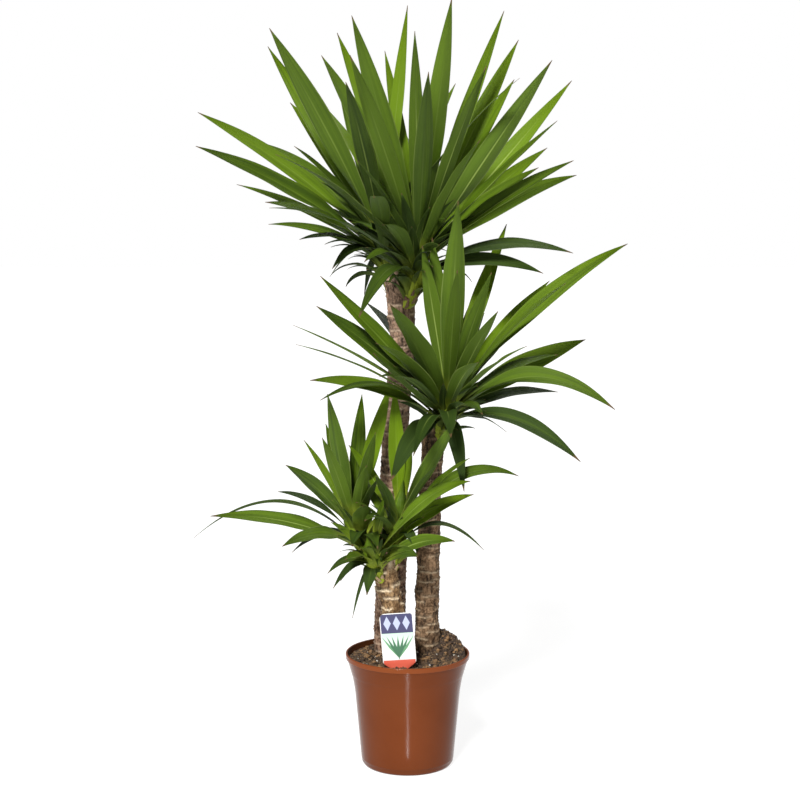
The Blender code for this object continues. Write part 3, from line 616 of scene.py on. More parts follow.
@dataclass
class Skin:
    """Collects closed grids of points and makes them one smooth mesh.

    A grid runs along its first direction and around or across its second. Each mark is a number at each
    point.
    """

    points: list[np.ndarray] = field(default_factory=list)
    faces: list[np.ndarray] = field(default_factory=list)
    maps: list[np.ndarray] = field(default_factory=list)
    marks: dict[str, list[np.ndarray]] = field(default_factory=dict)
    count: int = 0

    def _keep(self, points: np.ndarray, faces: np.ndarray, maps: np.ndarray, marks: Marks) -> None:
        """Adds like parts, each with the same count of points in a row of their own.

        Args:
            points: their places, shape (parts, points, 3).
            faces: one part's corners, shape (faces, 4), where a triangle has its last corner twice.
            maps: their map places, shape (parts, points, 2).
            marks: a number at each point, shape (parts * points,).
        """
        parts, size = points.shape[:2]
        starts = self.count + np.arange(parts) * size
        self.points.append(points.reshape(-1, 3))
        self.faces.append((faces[None] + starts[:, None, None]).reshape(-1, 4))
        self.maps.append(maps.reshape(-1, 2))
        for name, values in marks.items():
            self.marks.setdefault(name, []).append(np.asarray(values, float).reshape(-1))
        self.count += parts * size

    def add_blades(self, upper: np.ndarray, lower: np.ndarray, across: np.ndarray, marks: Marks) -> None:
        """Adds thin sheets, each an upper and a lower grid that are stitched along all four sides.

        Args:
            upper: points, shape (sheets, along, across, 3).
            lower: the same for the underside.
            across: the share of each column from one edge to the other, shape (across,).
            marks: a number for each sheet, shape (sheets,); "beneath" is added.
        """
        sheets, rows, columns = upper.shape[:3]
        grid = np.arange(2 * rows * columns).reshape(2, rows, columns)
        top, under = grid
        quads = [
            (top[:-1, :-1], top[1:, :-1], top[1:, 1:], top[:-1, 1:]),
            (under[:-1, :-1], under[:-1, 1:], under[1:, 1:], under[1:, :-1]),
            (under[:-1, 0], under[1:, 0], top[1:, 0], top[:-1, 0]),
            (top[:-1, -1], top[1:, -1], under[1:, -1], under[:-1, -1]),
            (top[0, :-1], top[0, 1:], under[0, 1:], under[0, :-1]),
            (under[-1, :-1], under[-1, 1:], top[-1, 1:], top[-1, :-1]),
        ]
        faces = np.concatenate([np.stack([c.reshape(-1) for c in q], axis=1) for q in quads])
        u, v = np.broadcast_arrays(across, np.linspace(0, 1, rows)[:, None])
        maps = np.tile(np.stack([u, v], axis=-1).reshape(-1, 2), (2 * sheets, 1))
        spread = {name: np.repeat(values, grid.size) for name, values in marks.items()}
        spread["beneath"] = np.tile(np.repeat([0.0, 1.0], rows * columns), sheets)
        self._keep(np.stack([upper, lower], axis=1).reshape(sheets, -1, 3), faces, maps, spread)

    def add_tubes(self, rings: np.ndarray, marks: Marks, top: float = 1.0) -> None:
        """Adds closed tubes, each a stack of rings with a point at either end.

        Args:
            rings: points, shape (tubes, rings, sides, 3), turning to the left as seen from the far end.
            marks: a number at each ring point, shape (tubes, rings, sides), or for each tube, shape (tubes,).
            top: how far up the map the last ring lies.
        """
        tubes, rows, sides = rings.shape[:3]
        grid = np.arange(rows * sides).reshape(rows, sides)
        turned = np.roll(grid, -1, axis=1)
        near, far = np.full(sides, grid.size), np.full(sides, grid.size + 1)
        walls = np.stack([grid[:-1], turned[:-1], turned[1:], grid[1:]], axis=-1).reshape(-1, 4)
        first = np.stack([turned[0], grid[0], near, near], axis=-1)
        last = np.stack([grid[-1], turned[-1], far, far], axis=-1)
        ends = rings[:, [0, -1]].mean(axis=2)
        points = np.concatenate([rings.reshape(tubes, -1, 3), ends], axis=1)
        u, v = np.broadcast_arrays(np.arange(sides) / sides, np.linspace(0, top, rows)[:, None])
        one_map = np.concatenate([np.stack([u, v], axis=-1).reshape(-1, 2), [[0.5, 0.0], [0.5, top]]])
        spread = {}
        for name, values in marks.items():
            if values.ndim == 1:
                spread[name] = np.repeat(values, grid.size + 2)
            else:
                tips = values[:, [0, -1]].mean(axis=2)
                spread[name] = np.concatenate([values.reshape(tubes, -1), tips], axis=1)
        self._keep(points, np.concatenate([walls, first, last]), np.tile(one_map, (tubes, 1)), spread)

    def piece(
        self, name: str, material: bpy.types.Material, slot: Slot, replaced: tuple[str, ...] = ()
    ) -> bpy.types.Object:
        """Makes the object, smooth, with its map, marks, body and the nodes that it replaces.

        Args:
            name: the piece's name.
            material: its finish.
            slot: not used.
            replaced: the nodes that it stands for.

        Returns:
            The object.
        """
        points, faces = np.concatenate(self.points), np.concatenate(self.faces)
        triangles = faces[:, 2] == faces[:, 3]
        sizes = np.where(triangles, 3, 4)
        kept = np.ones(faces.shape, bool)
        kept[triangles, 3] = False
        corners = faces[kept]
        mesh = bpy.data.meshes.new(name)
        mesh.vertices.add(len(points))
        mesh.vertices.foreach_set("co", points.astype(np.float32).ravel())
        mesh.loops.add(len(corners))
        mesh.loops.foreach_set("vertex_index", corners.astype(np.int32))
        mesh.polygons.add(len(faces))
        mesh.polygons.foreach_set("loop_start", np.concatenate([[0], np.cumsum(sizes)[:-1]]).astype(np.int32))
        mesh.polygons.foreach_set("loop_total", sizes.astype(np.int32))
        mesh.update(calc_edges=True)
        uv = mesh.uv_layers.new(name="map")
        uv.data.foreach_set("uv", np.concatenate(self.maps)[corners].astype(np.float32).ravel())
        for mark, values in self.marks.items():
            layer = mesh.attributes.new(mark, "FLOAT", "POINT")
            layer.data.foreach_set("value", np.concatenate(values).astype(np.float32))
        mesh.validate()
        mesh.shade_smooth()
        mesh.materials.append(material)
        thing = add_object(name, mesh)
        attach(thing, ROOT_BODY)
        if replaced:
            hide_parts(*replaced)
        LOG.info("%s: %d faces", name, len(mesh.polygons))
        return thing


@dataclass(frozen=True)
class Cane:
    """A bare cane: the points that its middle passes, its radius at each, and how its bark is scarred.

    Each ripple of the bark is a depth, a size, a stretch of its places and a seed.
    """

    name: str
    path: tuple[Point, ...]
    radii: tuple[float, ...]
    bark: BarkFinish
    slot: Slot
    seed: int
    soil_line: float = 0.191
    buried: float = 0.008
    chamfer: float = 0.003
    scar_rise: float = 0.0052
    scar_depth: float = 0.0017
    scar_reach: float = 1.45
    scar_window: float = 0.020
    swell: float = 0.0040
    drop: float = 0.0007
    coarser: float = 0.9
    line: float = 0.0009
    # The width of the soft painted highlight around each scar line.
    highlight_halo: float = 0.0030
    waver: float = 0.0006
    plainest: float = 0.0
    crown: float = 0.0
    inset: float = 0.0014
    dish: float = 0.0006
    sides: int = 112
    step: float = 0.0017
    trace_points: int = 40
    lid_shares: tuple[float, ...] = (0.93, 0.75, 0.5, 0.25, 0.08)
    # How much painted shade darkens the cut top.
    lid_shade: float = 0.25
    ripples: tuple[tuple[float, float, Point, int], ...] = (
        (0.00090, 0.0450, (1.0, 1.0, 1.00), 0),
        (0.00030, 0.0060, (1.0, 1.0, 1.00), 1),
        (0.00050, 0.0045, (0.4, 0.4, 1.00), 3),
        (0.00040, 0.0065, (1.0, 1.0, 0.25), 4),
    )

    def middle(self, heights: np.ndarray) -> np.ndarray:
        """The cane's middle at each height, on a cubic Hermite curve through its points.

        Args:
            heights: the heights, shape (count,).

        Returns:
            X and Y at each, shape (count, 2).
        """
        points = np.asarray(self.path, float)
        knots = points[:, 2]
        slopes = np.gradient(points[:, :2], knots, axis=0)
        span = np.clip(np.searchsorted(knots, heights, side="right") - 1, 0, len(knots) - 2)
        width = (knots[span + 1] - knots[span])[:, None]
        t = (heights - knots[span])[:, None] / width
        start, end = points[span, :2], points[span + 1, :2]
        return (
            (2 * t**3 - 3 * t**2 + 1) * start
            + (t**3 - 2 * t**2 + t) * width * slopes[span]
            + (3 * t**2 - 2 * t**3) * end
            + (t**3 - t**2) * width * slopes[span + 1]
        )

    def radius(self, heights: np.ndarray) -> np.ndarray:
        """The cane's plain radius at each height."""
        return np.interp(heights, [point[2] for point in self.path], self.radii)

    def gap(self, points: np.ndarray) -> np.ndarray:
        """How far each point is from the bark, below zero inside it.

        Args:
            points: places, shape (count, 3).

        Returns:
            The distances, shape (count,).
        """
        heights = np.clip(points[:, 2], self.path[0][2], self.path[-1][2])
        level = np.linalg.norm(points[:, :2] - self.middle(heights), axis=1) - self.radius(heights)
        return np.hypot(np.maximum(level, 0.0), points[:, 2] - heights) + np.minimum(level, 0.0)

    def trace(self) -> np.ndarray:
        """Points along the middle."""
        heights = np.linspace(self.path[0][2], self.path[-1][2], self.trace_points)
        return np.column_stack([self.middle(heights), heights])

    def scars(self, heights: np.ndarray, angles: np.ndarray) -> tuple[np.ndarray, np.ndarray, np.ndarray]:
        """The relief and the marks of the leaf scars over a grid.

        A scar is a crescent that rises to both ends with the square of the angle from its middle. Below its
        line the bark swells toward it over some millimetres, and just above the line it drops back into a
        hollow that gets painted shade. Its line is pale, partly as a painted highlight on the ledge. The
        scars grow coarser toward the top, and the cane's end may have a papery crown.

        Args:
            heights: the grid's heights.
            angles: the grid's angles, the same shape.

        Returns:
            The relief in metres, how pale each point is as scar edge and painted highlight, and how much
            painted shade lies in the hollow there.
        """
        draw = np.random.default_rng(self.seed)
        top = self.path[-1][2] - self.chamfer
        relief, pale_and_highlight, painted_shade = (np.zeros(heights.shape) for _ in range(3))
        level, count = self.soil_line - self.buried, 0
        while level < top:
            coarse = 1 + self.coarser * smoothstep(top - 0.09, top - 0.02, np.array(level))
            level += self.scar_rise * coarse * draw.uniform(0.6, 1.4)
            count += 1
            turn = count * GOLDEN_ANGLE + draw.normal(0, 0.25)
            reach = self.scar_reach * draw.uniform(0.45, 1.15)
            rise, tilt = draw.uniform(0.0, 0.0018), draw.normal(0, 0.0010)
            depth, show = draw.uniform(0.3, 1.0), draw.uniform(self.plainest, 1.0)
            phase, waver = draw.uniform(0, FULL_TURN, 2), draw.uniform(0.2, 1.0) * self.waver
            rows = np.abs(heights[:, 0] - level) < self.scar_window
            off = (angles[rows] - turn + math.pi) % FULL_TURN - math.pi
            line = level + rise * off**2 + tilt * off
            line = line + waver * (np.sin(5 * off + phase[0]) + 0.6 * np.sin(13 * off + phase[1]))
            line = line + 0.35 * waver * np.sin(29 * off + phase[0] + phase[1])
            above = (heights[rows] - line) / coarse
            fade = 1 - smoothstep(0.60, 1.0, np.abs(off) / reach)
            swell = np.where(above < 0, np.exp(above / self.swell), np.exp(-((above / self.drop) ** 2)))
            relief[rows] = np.maximum(relief[rows], self.scar_depth * coarse * depth * swell * fade)
            # A pale line along each scar's ledge, with a soft halo that is a painted highlight.
            ledge_pale_and_highlight = np.exp(-(((above + 0.5 * self.line) / self.line) ** 2)) * show
            ledge_pale_and_highlight = ledge_pale_and_highlight + 0.18 * np.exp(-((above / self.highlight_halo) ** 2))
            pale_and_highlight[rows] = np.maximum(pale_and_highlight[rows], np.minimum(ledge_pale_and_highlight, 1.0) * fade)
            # Painted shade in the hollow just above each scar line.
            from_painted_shade = (above - 1.2 * self.line - 0.0010) / (0.7 * self.line + 0.0008)
            painted_shade[rows] = np.maximum(painted_shade[rows], np.exp(-(from_painted_shade**2)) * fade * depth)
        papery = self.crown * smoothstep(top - 0.022, top - 0.004, heights)
        papery = papery * (0.6 + 0.4 * np.sin(9 * angles))
        return relief, np.maximum(pale_and_highlight, papery), painted_shade

    def build(self) -> None:
        """The cane's bark: rings on the curved middle, out by the radius, the scars' relief and the ripples.

        The top is rounded by a chamfer and closed by rings that shrink to its middle and sink a little.
        """
        foot, top = self.path[0][2], self.path[-1][2]
        bare_from, round_from = self.soil_line - self.buried, top - self.chamfer
        heights = np.concatenate([
            np.linspace(foot, bare_from, 12)[:-1],
            np.arange(bare_from, round_from, self.step),
            np.linspace(round_from, top, 5),
        ])
        z, turn = np.meshgrid(heights, around(self.sides), indexing="ij")
        relief, pale_and_highlight, painted_shade = self.scars(z, turn)
        plain, middle = self.radius(heights)[:, None], self.middle(heights)
        surface = circled(plain, turn, z)
        lumps = sum(
            depth * ripple(surface * np.array(stretch), size, self.seed + seed)
            for depth, size, stretch, seed in self.ripples
        )
        bare = smoothstep(bare_from, self.soil_line, z)
        shoulder = np.clip((heights - round_from) / self.chamfer, 0, 1)[:, None]
        radii = plain - self.inset + (relief + lumps) * bare * (1 - shoulder)
        radii = radii - 0.6 * self.chamfer * shoulder**2
        rings = circled(radii, turn, z)
        rings[..., :2] += middle[:, None]
        inner = np.array(self.lid_shares)[:, None]
        lid = np.repeat(rings[-1:], len(inner), axis=0)
        lid[..., :2] = middle[-1] + (lid[..., :2] - middle[-1]) * inner[..., None]
        lid[..., 2] = top - self.dish * (1 - inner) + 0.0003 * ripple(lid, 0.006, self.seed + 2)
        spare = np.zeros(lid.shape[:2])
        skin = Skin()
        # One mark carries the pale scar edges with their painted highlights, the other the painted shade in
        # the hollows and on the cut top.
        skin.add_tubes(np.concatenate([rings, lid])[None], {
            "pale_scar_and_painted_light": np.concatenate([pale_and_highlight, spare])[None],
            "painted_shade": np.concatenate([painted_shade, spare + self.lid_shade])[None],
        })
        skin.piece(self.name + "_bark", self.bark.material(), self.slot, (self.name,))


CANE_TALL = Cane(
    "cane_tall",
    (
        (-0.032, 0.032, 0.075),
        (-0.031, 0.033, 0.195),
        (-0.026, 0.036, 0.385),
        (-0.021, 0.036, 0.565),
        (-0.010, 0.032, 0.745),
        (-0.014, 0.032, 0.851),
    ),
    (0.0260, 0.0285, 0.0255, 0.0232, 0.0215, 0.0275),
    RED_BARK,
    Slot.OLD_BARK,
    seed=21,
    line=0.0012,
    plainest=0.25,
    crown=0.35,
)
CANE_MIDDLE = Cane(
    "cane_middle",
    (
        (0.032, 0.010, 0.075),
        (0.033, 0.010, 0.205),
        (0.036, 0.011, 0.385),
        (0.041, 0.012, 0.515),
        (0.047, 0.012, 0.587),
    ),
    (0.0205, 0.0220, 0.0205, 0.0200, 0.0215),
    OLD_BARK,
    Slot.OLD_BARK,
    seed=22,
    plainest=0.15,
    crown=0.25,
)
CANE_SHORT = Cane(
    "cane_short",
    (
        (-0.009, -0.044, 0.075),
        (-0.015, -0.044, 0.195),
        (-0.028, -0.046, 0.295),
        (-0.037, -0.049, 0.350),
        (-0.035, -0.050, 0.373),
    ),
    (0.0185, 0.0205, 0.0198, 0.0210, 0.0160),
    YOUNG_BARK,
    Slot.YOUNG_BARK,
    seed=23,
    scar_rise=0.0050,
    scar_depth=0.0036,
    scar_reach=1.6,
    line=0.0011,
    waver=0.0014,
    plainest=0.5,
    crown=0.7,
)
CANES = (CANE_TALL, CANE_MIDDLE, CANE_SHORT)


@dataclass(frozen=True)
class Leaf:
    """One blade. Its tip's reach from its shoot's heart is in centimetres: across, toward the front, up."""

    across: float
    toward: float
    up: float
    arch: float = 0.10
    turn: float = 30.0
    width: float = 3.3
    flat: bool = False


@dataclass(frozen=True)
class Shoot:
    """A leafy shoot: its stem from cane to heart, the leaves seen at the front, and a rule for the rest."""

    foot: Point
    heart: Point
    stem_radius: float
    leaves: tuple[Leaf, ...]
    more: int
    length: float
    width: float
    start_angle: float
    seed: int
    lowest: float = -20.0
    steepest: float = 80.0
    side_share: float = 0.72
    stem_bend: Point = (0.75, 0.75, 0.40)
    highest_root: float = 0.85
    lowest_root: float = 0.45
    root_drop: float = 0.42
    root_outset: float = 0.25
    bend_share: float = 0.45
    stem_lift: float = 0.22

    def axis(self, share: float | np.ndarray) -> np.ndarray:
        """Points of the stem: a quadratic curve that leaves the cane outward and bends up to the heart.

        Args:
            share: shares of its length, of any shape.

        Returns:
            The points, shape (..., 3).
        """
        foot, heart = np.array(self.foot), np.array(self.heart)
        bend = foot + (heart - foot) * np.array(self.stem_bend)
        return quadratic(foot, bend, heart, np.asarray(share, float)[..., None])

    def draft(self, i: int, draw: random.Random) -> Leaf:
        """One draft of the leaf that stands i golden angles round: young leaves are steep, old ones droop.

        Args:
            i: the leaf's number, from the youngest.
            draw: gives the chances.

        Returns:
            The leaf.
        """
        age = (i + 0.5) / self.more
        angle = self.start_angle + i * GOLDEN_ANGLE + draw.uniform(-0.8, 0.8)
        slope = self.steepest + (self.lowest - self.steepest) * age + draw.uniform(-12, 12)
        reach = 100 * self.length * (0.80 + 0.35 * math.sin(math.pi * age)) * draw.uniform(0.88, 1.1)
        level = reach * math.cos(math.radians(slope))
        return Leaf(
            across=level * math.cos(angle) * self.side_share,
            toward=-level * math.sin(angle),
            up=reach * math.sin(math.radians(slope)),
            arch=0.04 + 0.14 * age,
            turn=draw.uniform(10, 45),
            width=100 * self.width * draw.uniform(0.85, 1.1),
            flat=True,
        )

    def line(self, leaf: Leaf, share: np.ndarray) -> tuple[np.ndarray, np.ndarray, np.ndarray]:
        """A blade's middle line: a quadratic curve that leaves the stem steeply and arches over to the tip.

        Args:
            leaf: the blade.
            share: shares of its length.

        Returns:
            The points, the direction there and the outward heading.
        """
        reach = np.array([leaf.across, -leaf.toward, leaf.up]) / 100
        steepness = reach[2] / np.linalg.norm(reach)
        stem_length = np.linalg.norm(np.array(self.heart) - np.array(self.foot))
        outward = np.array([reach[0], reach[1], 0.0])
        outward /= max(np.linalg.norm(outward), 1e-6)
        root_share = max(self.highest_root - self.root_drop * (1 - steepness), self.lowest_root)
        root = self.axis(root_share) + self.root_outset * self.stem_radius * outward
        tip = np.array(self.heart) + reach
        lift = leaf.arch * np.linalg.norm(tip - root) + self.stem_lift * stem_length * (1 - steepness)
        bend = root + self.bend_share * (tip - root) + lift * UP
        t = share[:, None]
        along = 2 * (1 - t) * (bend - root) + 2 * t * (tip - bend)
        return quadratic(root, bend, tip, t), along / np.linalg.norm(along, axis=1, keepdims=True), outward

    def axes(self, leaf: Leaf, share: np.ndarray) -> tuple[np.ndarray, np.ndarray, np.ndarray]:
        """A blade's middle line, and its side and face directions, twisted to face the front.

        A steep leaf in front of its stem turns the other way, because there it is the back that faces the
        front.

        Args:
            leaf: the blade.
            share: shares of its length.

        Returns:
            The points, the side directions and the face directions.
        """
        middle, along, outward = self.line(leaf, share)
        side = np.array([-outward[1], outward[0], 0.0])
        side = side - along * (along @ side)[:, None]
        side /= np.linalg.norm(side, axis=1, keepdims=True)
        face = np.cross(along, side)
        shows_back = leaf.toward > 0 and leaf.up > math.hypot(leaf.across, leaf.toward)
        way = 1 if (side[0][1] > 0) == shows_back else -1
        roll = way * math.radians(leaf.turn) * abs(outward[0]) * smoothstep(0.0, 0.5, share)[:, None]
        face = np.cos(roll) * face + np.sin(roll) * side
        return middle, np.cross(face, along), face


@dataclass(frozen=True)
class BladeShape:
    """How a blade is made between its middle line and its edges."""

    rows: int = 34
    columns: tuple[float, ...] = (-1.0, -0.95, -0.76, -0.52, -0.26, 0.0, 0.26, 0.52, 0.76, 0.95, 1.0)
    peak: float = 0.50
    neck: float = 0.46
    taper: float = 1.9
    tip_width: float = 0.0008
    narrow: float = 2.7
    fold_at_base: float = math.radians(30)
    fold_at_tip: float = math.radians(10)
    flat_fold: float = math.radians(9)
    flat_fold_left: float = 0.6
    vee: float = 1.35
    edge: float = 0.00045
    middle: float = 0.0013
    wave: float = 0.0011
    wavy_half: float = 0.016

    def across(self) -> np.ndarray:
        """The share of each column from one edge to the other."""
        return (np.array(self.columns) + 1) / 2

    def grids(self, shoot: Shoot, leaf: Leaf, seed: int) -> tuple[np.ndarray, np.ndarray]:
        """The upper and lower grid of one blade.

        Across the blade, a point is out from the middle line by its share of the half width, and up by a
        soft V that flattens toward the tip. Slow seeded waves run along both edges. It is thickest along
        its middle.

        Args:
            shoot: the shoot that it grows on.
            leaf: the blade.
            seed: picks its waves.

        Returns:
            Two arrays of points, shape (rows, columns, 3).
        """
        share = np.linspace(0, 1, self.rows)
        narrow = leaf.flat or leaf.width < self.narrow
        base = self.flat_fold if narrow else self.fold_at_base
        last = self.flat_fold * self.flat_fold_left if narrow else self.fold_at_tip
        return self.sheet(shoot.axes(leaf, share), leaf.width / 100, base + (last - base) * share, seed)

    def sheet(
        self,
        axes: tuple[np.ndarray, np.ndarray, np.ndarray],
        widest: float,
        fold: np.ndarray,
        seed: int,
    ) -> tuple[np.ndarray, np.ndarray]:
        """The upper and lower grid around a middle line with its side and face directions.

        Args:
            axes: the middle line, the side and the face directions, each of shape (rows, 3).
            widest: the greatest width in metres.
            fold: how far each half is folded up, in radians, shape (rows,).
            seed: picks its waves.

        Returns:
            Two arrays of points, shape (rows, columns, 3).
        """
        middle, side, face = axes
        share = np.linspace(0, 1, len(middle))
        rise = np.clip(share / self.peak, 0, 1)
        fall = np.clip((share - self.peak) / (1 - self.peak), 0, 1)
        width = (self.neck + (1 - self.neck) * np.sin(math.pi / 2 * rise) ** 2) * (1 - fall**self.taper)
        half = np.maximum(width * widest, self.tip_width) / 2
        u = np.array(self.columns)
        draw = np.random.default_rng(seed)
        phase, pitch = draw.uniform(0, FULL_TURN, 2), draw.uniform(1.5, 3.5, 2)
        left, right = (np.sin(FULL_TURN * pitch[i] * share + phase[i]) for i in (0, 1))
        ruffle = np.where(u < 0, left[:, None], right[:, None]) * u**2
        ruffle *= self.wave * (half / self.wavy_half)[:, None] * np.sin(math.pi * share)[:, None]
        out = (half * np.cos(fold))[:, None] * u
        up = (half * np.sin(fold))[:, None] * (np.abs(u) ** self.vee - 0.4) + ruffle
        sheet = middle[:, None] + side[:, None] * out[..., None] + face[:, None] * up[..., None]
        thickest = self.middle * (1 - 0.5 * share)[:, None]
        thickness = self.edge + (thickest - self.edge) * (1 - np.abs(u) ** 1.5)
        thick = face[:, None] * thickness[..., None] / 2
        return sheet + thick, sheet - thick


TALL_FRONT = Shoot(
    foot=(0.001, 0.014, 0.790),
    heart=(0.020, -0.010, 0.910),
    stem_radius=0.0115,
    leaves=(
        Leaf(-16, 5, 29, 0.10, 60, 3.4),
        Leaf(-14, -10, 34, 0.04, 60, 3.2),
        Leaf(-11, 8, 35, 0.04, 60, 3.8),
        Leaf(-11, 18, 28, 0.05, 60, 3.2),
        Leaf(-6, -22, 32, 0.05, 20, 2.6),
        Leaf(-1, 14, 32, 0.03, 30, 2.6),
        Leaf(1, 24, 25, 0.05, 10, 3.2),
        Leaf(5, 6, 38, 0.02, 40, 3.9),
        Leaf(14, -4, 37, 0.04, 60, 2.7),
        Leaf(17, -12, 33, 0.05, 60, 3.4),
        Leaf(17, -22, 27, 0.06, 60, 3.2),
        Leaf(21, 8, 28, -0.01, 60, 3.8),
        Leaf(26, -10, 26, -0.02, 60, 3.4),
        Leaf(21, 18, 18, 0.02, 60, 3.4),
        Leaf(23, -22, 15, 0.03, 60, 3.2),
        Leaf(19, 8, 11, 0.06, 60, 3.4),
        Leaf(24, 14, 12, 0.05, 60, 3.4),
        Leaf(27, -10, 10, 0.10, 60, 3.4),
        Leaf(20.3, 4, -6.2, 0.10, 60, 2.6),
        Leaf(-10, 16, 12, 0.08, 60, 3.2),
        Leaf(-6, 20, 2, 0.14, 15, 3.0),
        Leaf(-9, 12, -4, 0.18, 20, 2.6),
        Leaf(9, 21, 15, 0.08, 60, 3.2),
    ),
    more=10,
    length=0.34,
    width=0.032,
    start_angle=1.1,
    seed=11,
    lowest=-15.0,
    steepest=64.0,
)
TALL_BACK = Shoot(
    foot=(-0.026, 0.048, 0.810),
    heart=(-0.045, 0.060, 0.935),
    stem_radius=0.0115,
    leaves=(
        Leaf(-18, 10, 31, 0.04, 60, 4.0),
        Leaf(-20, -12, 30, 0.01, 60, 3.4),
        Leaf(-8, -15, 25, 0.02, 20, 2.5),
        Leaf(4.5, -6, 36.4, 0.02, 20, 2.6),
        Leaf(-17, -25, 21, 0.06, 60, 3.2),
        Leaf(-31, 0, 18, 0.07, 60, 3.2),
        Leaf(-30, 12, 12, 0.06, 60, 3.6),
        Leaf(-26, -15, 6, 0.04, 60, 1.6),
        Leaf(-18, 22, 3, 0.07, 60, 3.6),
        Leaf(-20, -10, -1, 0.06, 60, 1.6),
        Leaf(-8, 10, -8, 0.20, 20, 2.6),
        Leaf(-9, -6, -10, 0.20, 20, 2.2),
        Leaf(-14, 12, 12, 0.08, 60, 3.2),
        Leaf(-13, 16, -3, 0.08, 30, 2.6),
        Leaf(-3.0, -3, -13, 0.24, 20, 2.6),
    ),
    more=10,
    length=0.34,
    width=0.032,
    start_angle=6.1,
    seed=12,
    lowest=-15.0,
    steepest=64.0,
)
MIDDLE = Shoot(
    foot=(0.050, 0.006, 0.550),
    heart=(0.0695, -0.010, 0.657),
    stem_radius=0.0115,
    leaves=(
        Leaf(1, 12, 31, 0.02, 20, 4.2),
        Leaf(-3, 5, 25, 0.02, 30, 3.8),
        Leaf(10, -8, 27, 0.04, 30, 3.4),
        Leaf(29, 5, 24, 0.15, 66, 3.4),
        Leaf(18, -14, 17, 0.07, 30, 3.2),
        Leaf(7, 20, 14, 0.06, 20, 3.2),
        Leaf(12, -16, 8, 0.10, 20, 3.0),
        Leaf(24, -10, 7, 0.04, 60, 4.4),
        Leaf(27, 8, -3, 0.38, 40, 4.0),
        Leaf(21, 12, -11, 0.19, 35, 3.8),
        Leaf(19.3, -10, -2.2, 0.08, 30, 3.0),
        Leaf(10.3, -8, -9, 0.03, 20, 2.6),
        Leaf(5, 14, -3, 0.16, 10, 3.0),
        Leaf(2.4, 6, -17, 0.24, 20, 3.0),
        Leaf(-21.3, 6, 18.8, -0.01, 62, 3.4),
        Leaf(-22, 5, 13.8, 0.02, 58, 4.0),
        Leaf(-25.7, 7, 10.8, 0.04, 20, 1.5),
        Leaf(-25, 11, 8, 0.06, 20, 1.3),
        Leaf(-22.7, 13, 2.4, 0.09, 55, 3.2),
        Leaf(-21, 15, -0.6, 0.26, 20, 2.4),
        Leaf(-9.8, 19, 15, 0.08, 10, 4.8),
        Leaf(-12, 20, 9, 0.10, 10, 4.2),
        Leaf(-12.5, 15, 7, -0.12, 15, 3.0),
        Leaf(-9.7, 13, -14, 0.14, 35, 4.0),
        Leaf(0, 12, -7, 0.22, 20, 3.2),
        Leaf(4, 20, 6, 0.12, 20, 3.2),
        Leaf(12, 14, 8, 0.08, 30, 3.2),
    ),
    more=12,
    length=0.28,
    width=0.030,
    start_angle=3.4,
    seed=13,
)
SHORT_RIGHT = Shoot(
    foot=(-0.029, -0.052, 0.340),
    heart=(-0.0125, -0.050, 0.466),
    stem_radius=0.0095,
    leaves=(
        Leaf(-1, -2, 19, 0.02, 40, 3.0),
        Leaf(9.3, 4, 14.5, 0.04, 50, 3.0),
        Leaf(20, -3, 3.9, 0.38, 40, 2.8),
        Leaf(-7.3, 6, 1.1, 0.06, 20, 3.0),
        Leaf(14, 1, -8, 0.30, 20, 1.4),
        Leaf(3, 5, -8, 0.25, 20, 2.0),
        Leaf(6, 9, 8, 0.08, 30, 2.6),
        Leaf(-4, 9, 6, 0.10, 30, 2.6),
        Leaf(-5, 7, -1, 0.14, 30, 2.4),
    ),
    more=5,
    length=0.15,
    width=0.025,
    start_angle=0.9,
    seed=14,
)
SHORT_LEFT = Shoot(
    foot=(-0.042, -0.050, 0.340),
    heart=(-0.0975, -0.040, 0.451),
    stem_radius=0.0095,
    leaves=(
        Leaf(-3.5, 3, 20, 0.02, 40, 3.0),
        Leaf(2, -5, 19, 0.03, 40, 2.8),
        Leaf(-4, 12, 14, 0.06, 20, 2.4),
        Leaf(-8, -6, 11, 0.08, 30, 1.4),
        Leaf(-11, -4, 7, 0.10, 40, 3.0),
        Leaf(-23, 4, -0.3, 0.05, 40, 3.2),
        Leaf(-27, -6, -6, 0.38, 20, 1.2),
        Leaf(-11, 6, -5, 0.07, 30, 3.6),
        Leaf(-10, -3, -8, 0.16, 30, 2.4),
        Leaf(3, 9, 9, 0.08, 30, 2.8),
        Leaf(2.5, 9, 2.4, 0.05, 15, 3.4),
        Leaf(0.6, 8, -4.6, 0.22, 10, 2.8),
        Leaf(5.0, 6, 6.5, 0.12, 20, 2.4),
        Leaf(6.8, -2, 21, 0.03, 50, 3.2),
    ),
    more=5,
    length=0.16,
    width=0.025,
    start_angle=2.6,
    seed=15,
)
SHORT_FRONT = Shoot(
    foot=(-0.043, -0.056, 0.330),
    heart=(-0.0618, -0.090, 0.400),
    stem_radius=0.0085,
    leaves=(
        Leaf(2.2, -1, 8, 0.02, 30, 2.0),
        Leaf(16.4, 2, 11.2, 0.27, 50, 2.6),
        Leaf(17.2, -4, 7.9, 0.19, 50, 2.8),
        Leaf(13.9, 3, 1.4, 0.16, 45, 2.8),
        Leaf(7.9, 3, -1.2, 0.14, 45, 3.0),
        Leaf(-7, 3, -4, 0.22, 30, 1.8),
        Leaf(-6, 5, -6, 0.22, 30, 1.6),
        Leaf(-5, 0, -6, 0.22, 30, 1.6),
        Leaf(-3, 1, -12, 0.20, 20, 1.0),
        Leaf(-4, 6, -1, 0.15, 30, 2.4),
        Leaf(-0.6, 1.5, -8, 0.12, 20, 2.6),
    ),
    more=3,
    length=0.08,
    width=0.018,
    start_angle=0.2,
    seed=16,
)


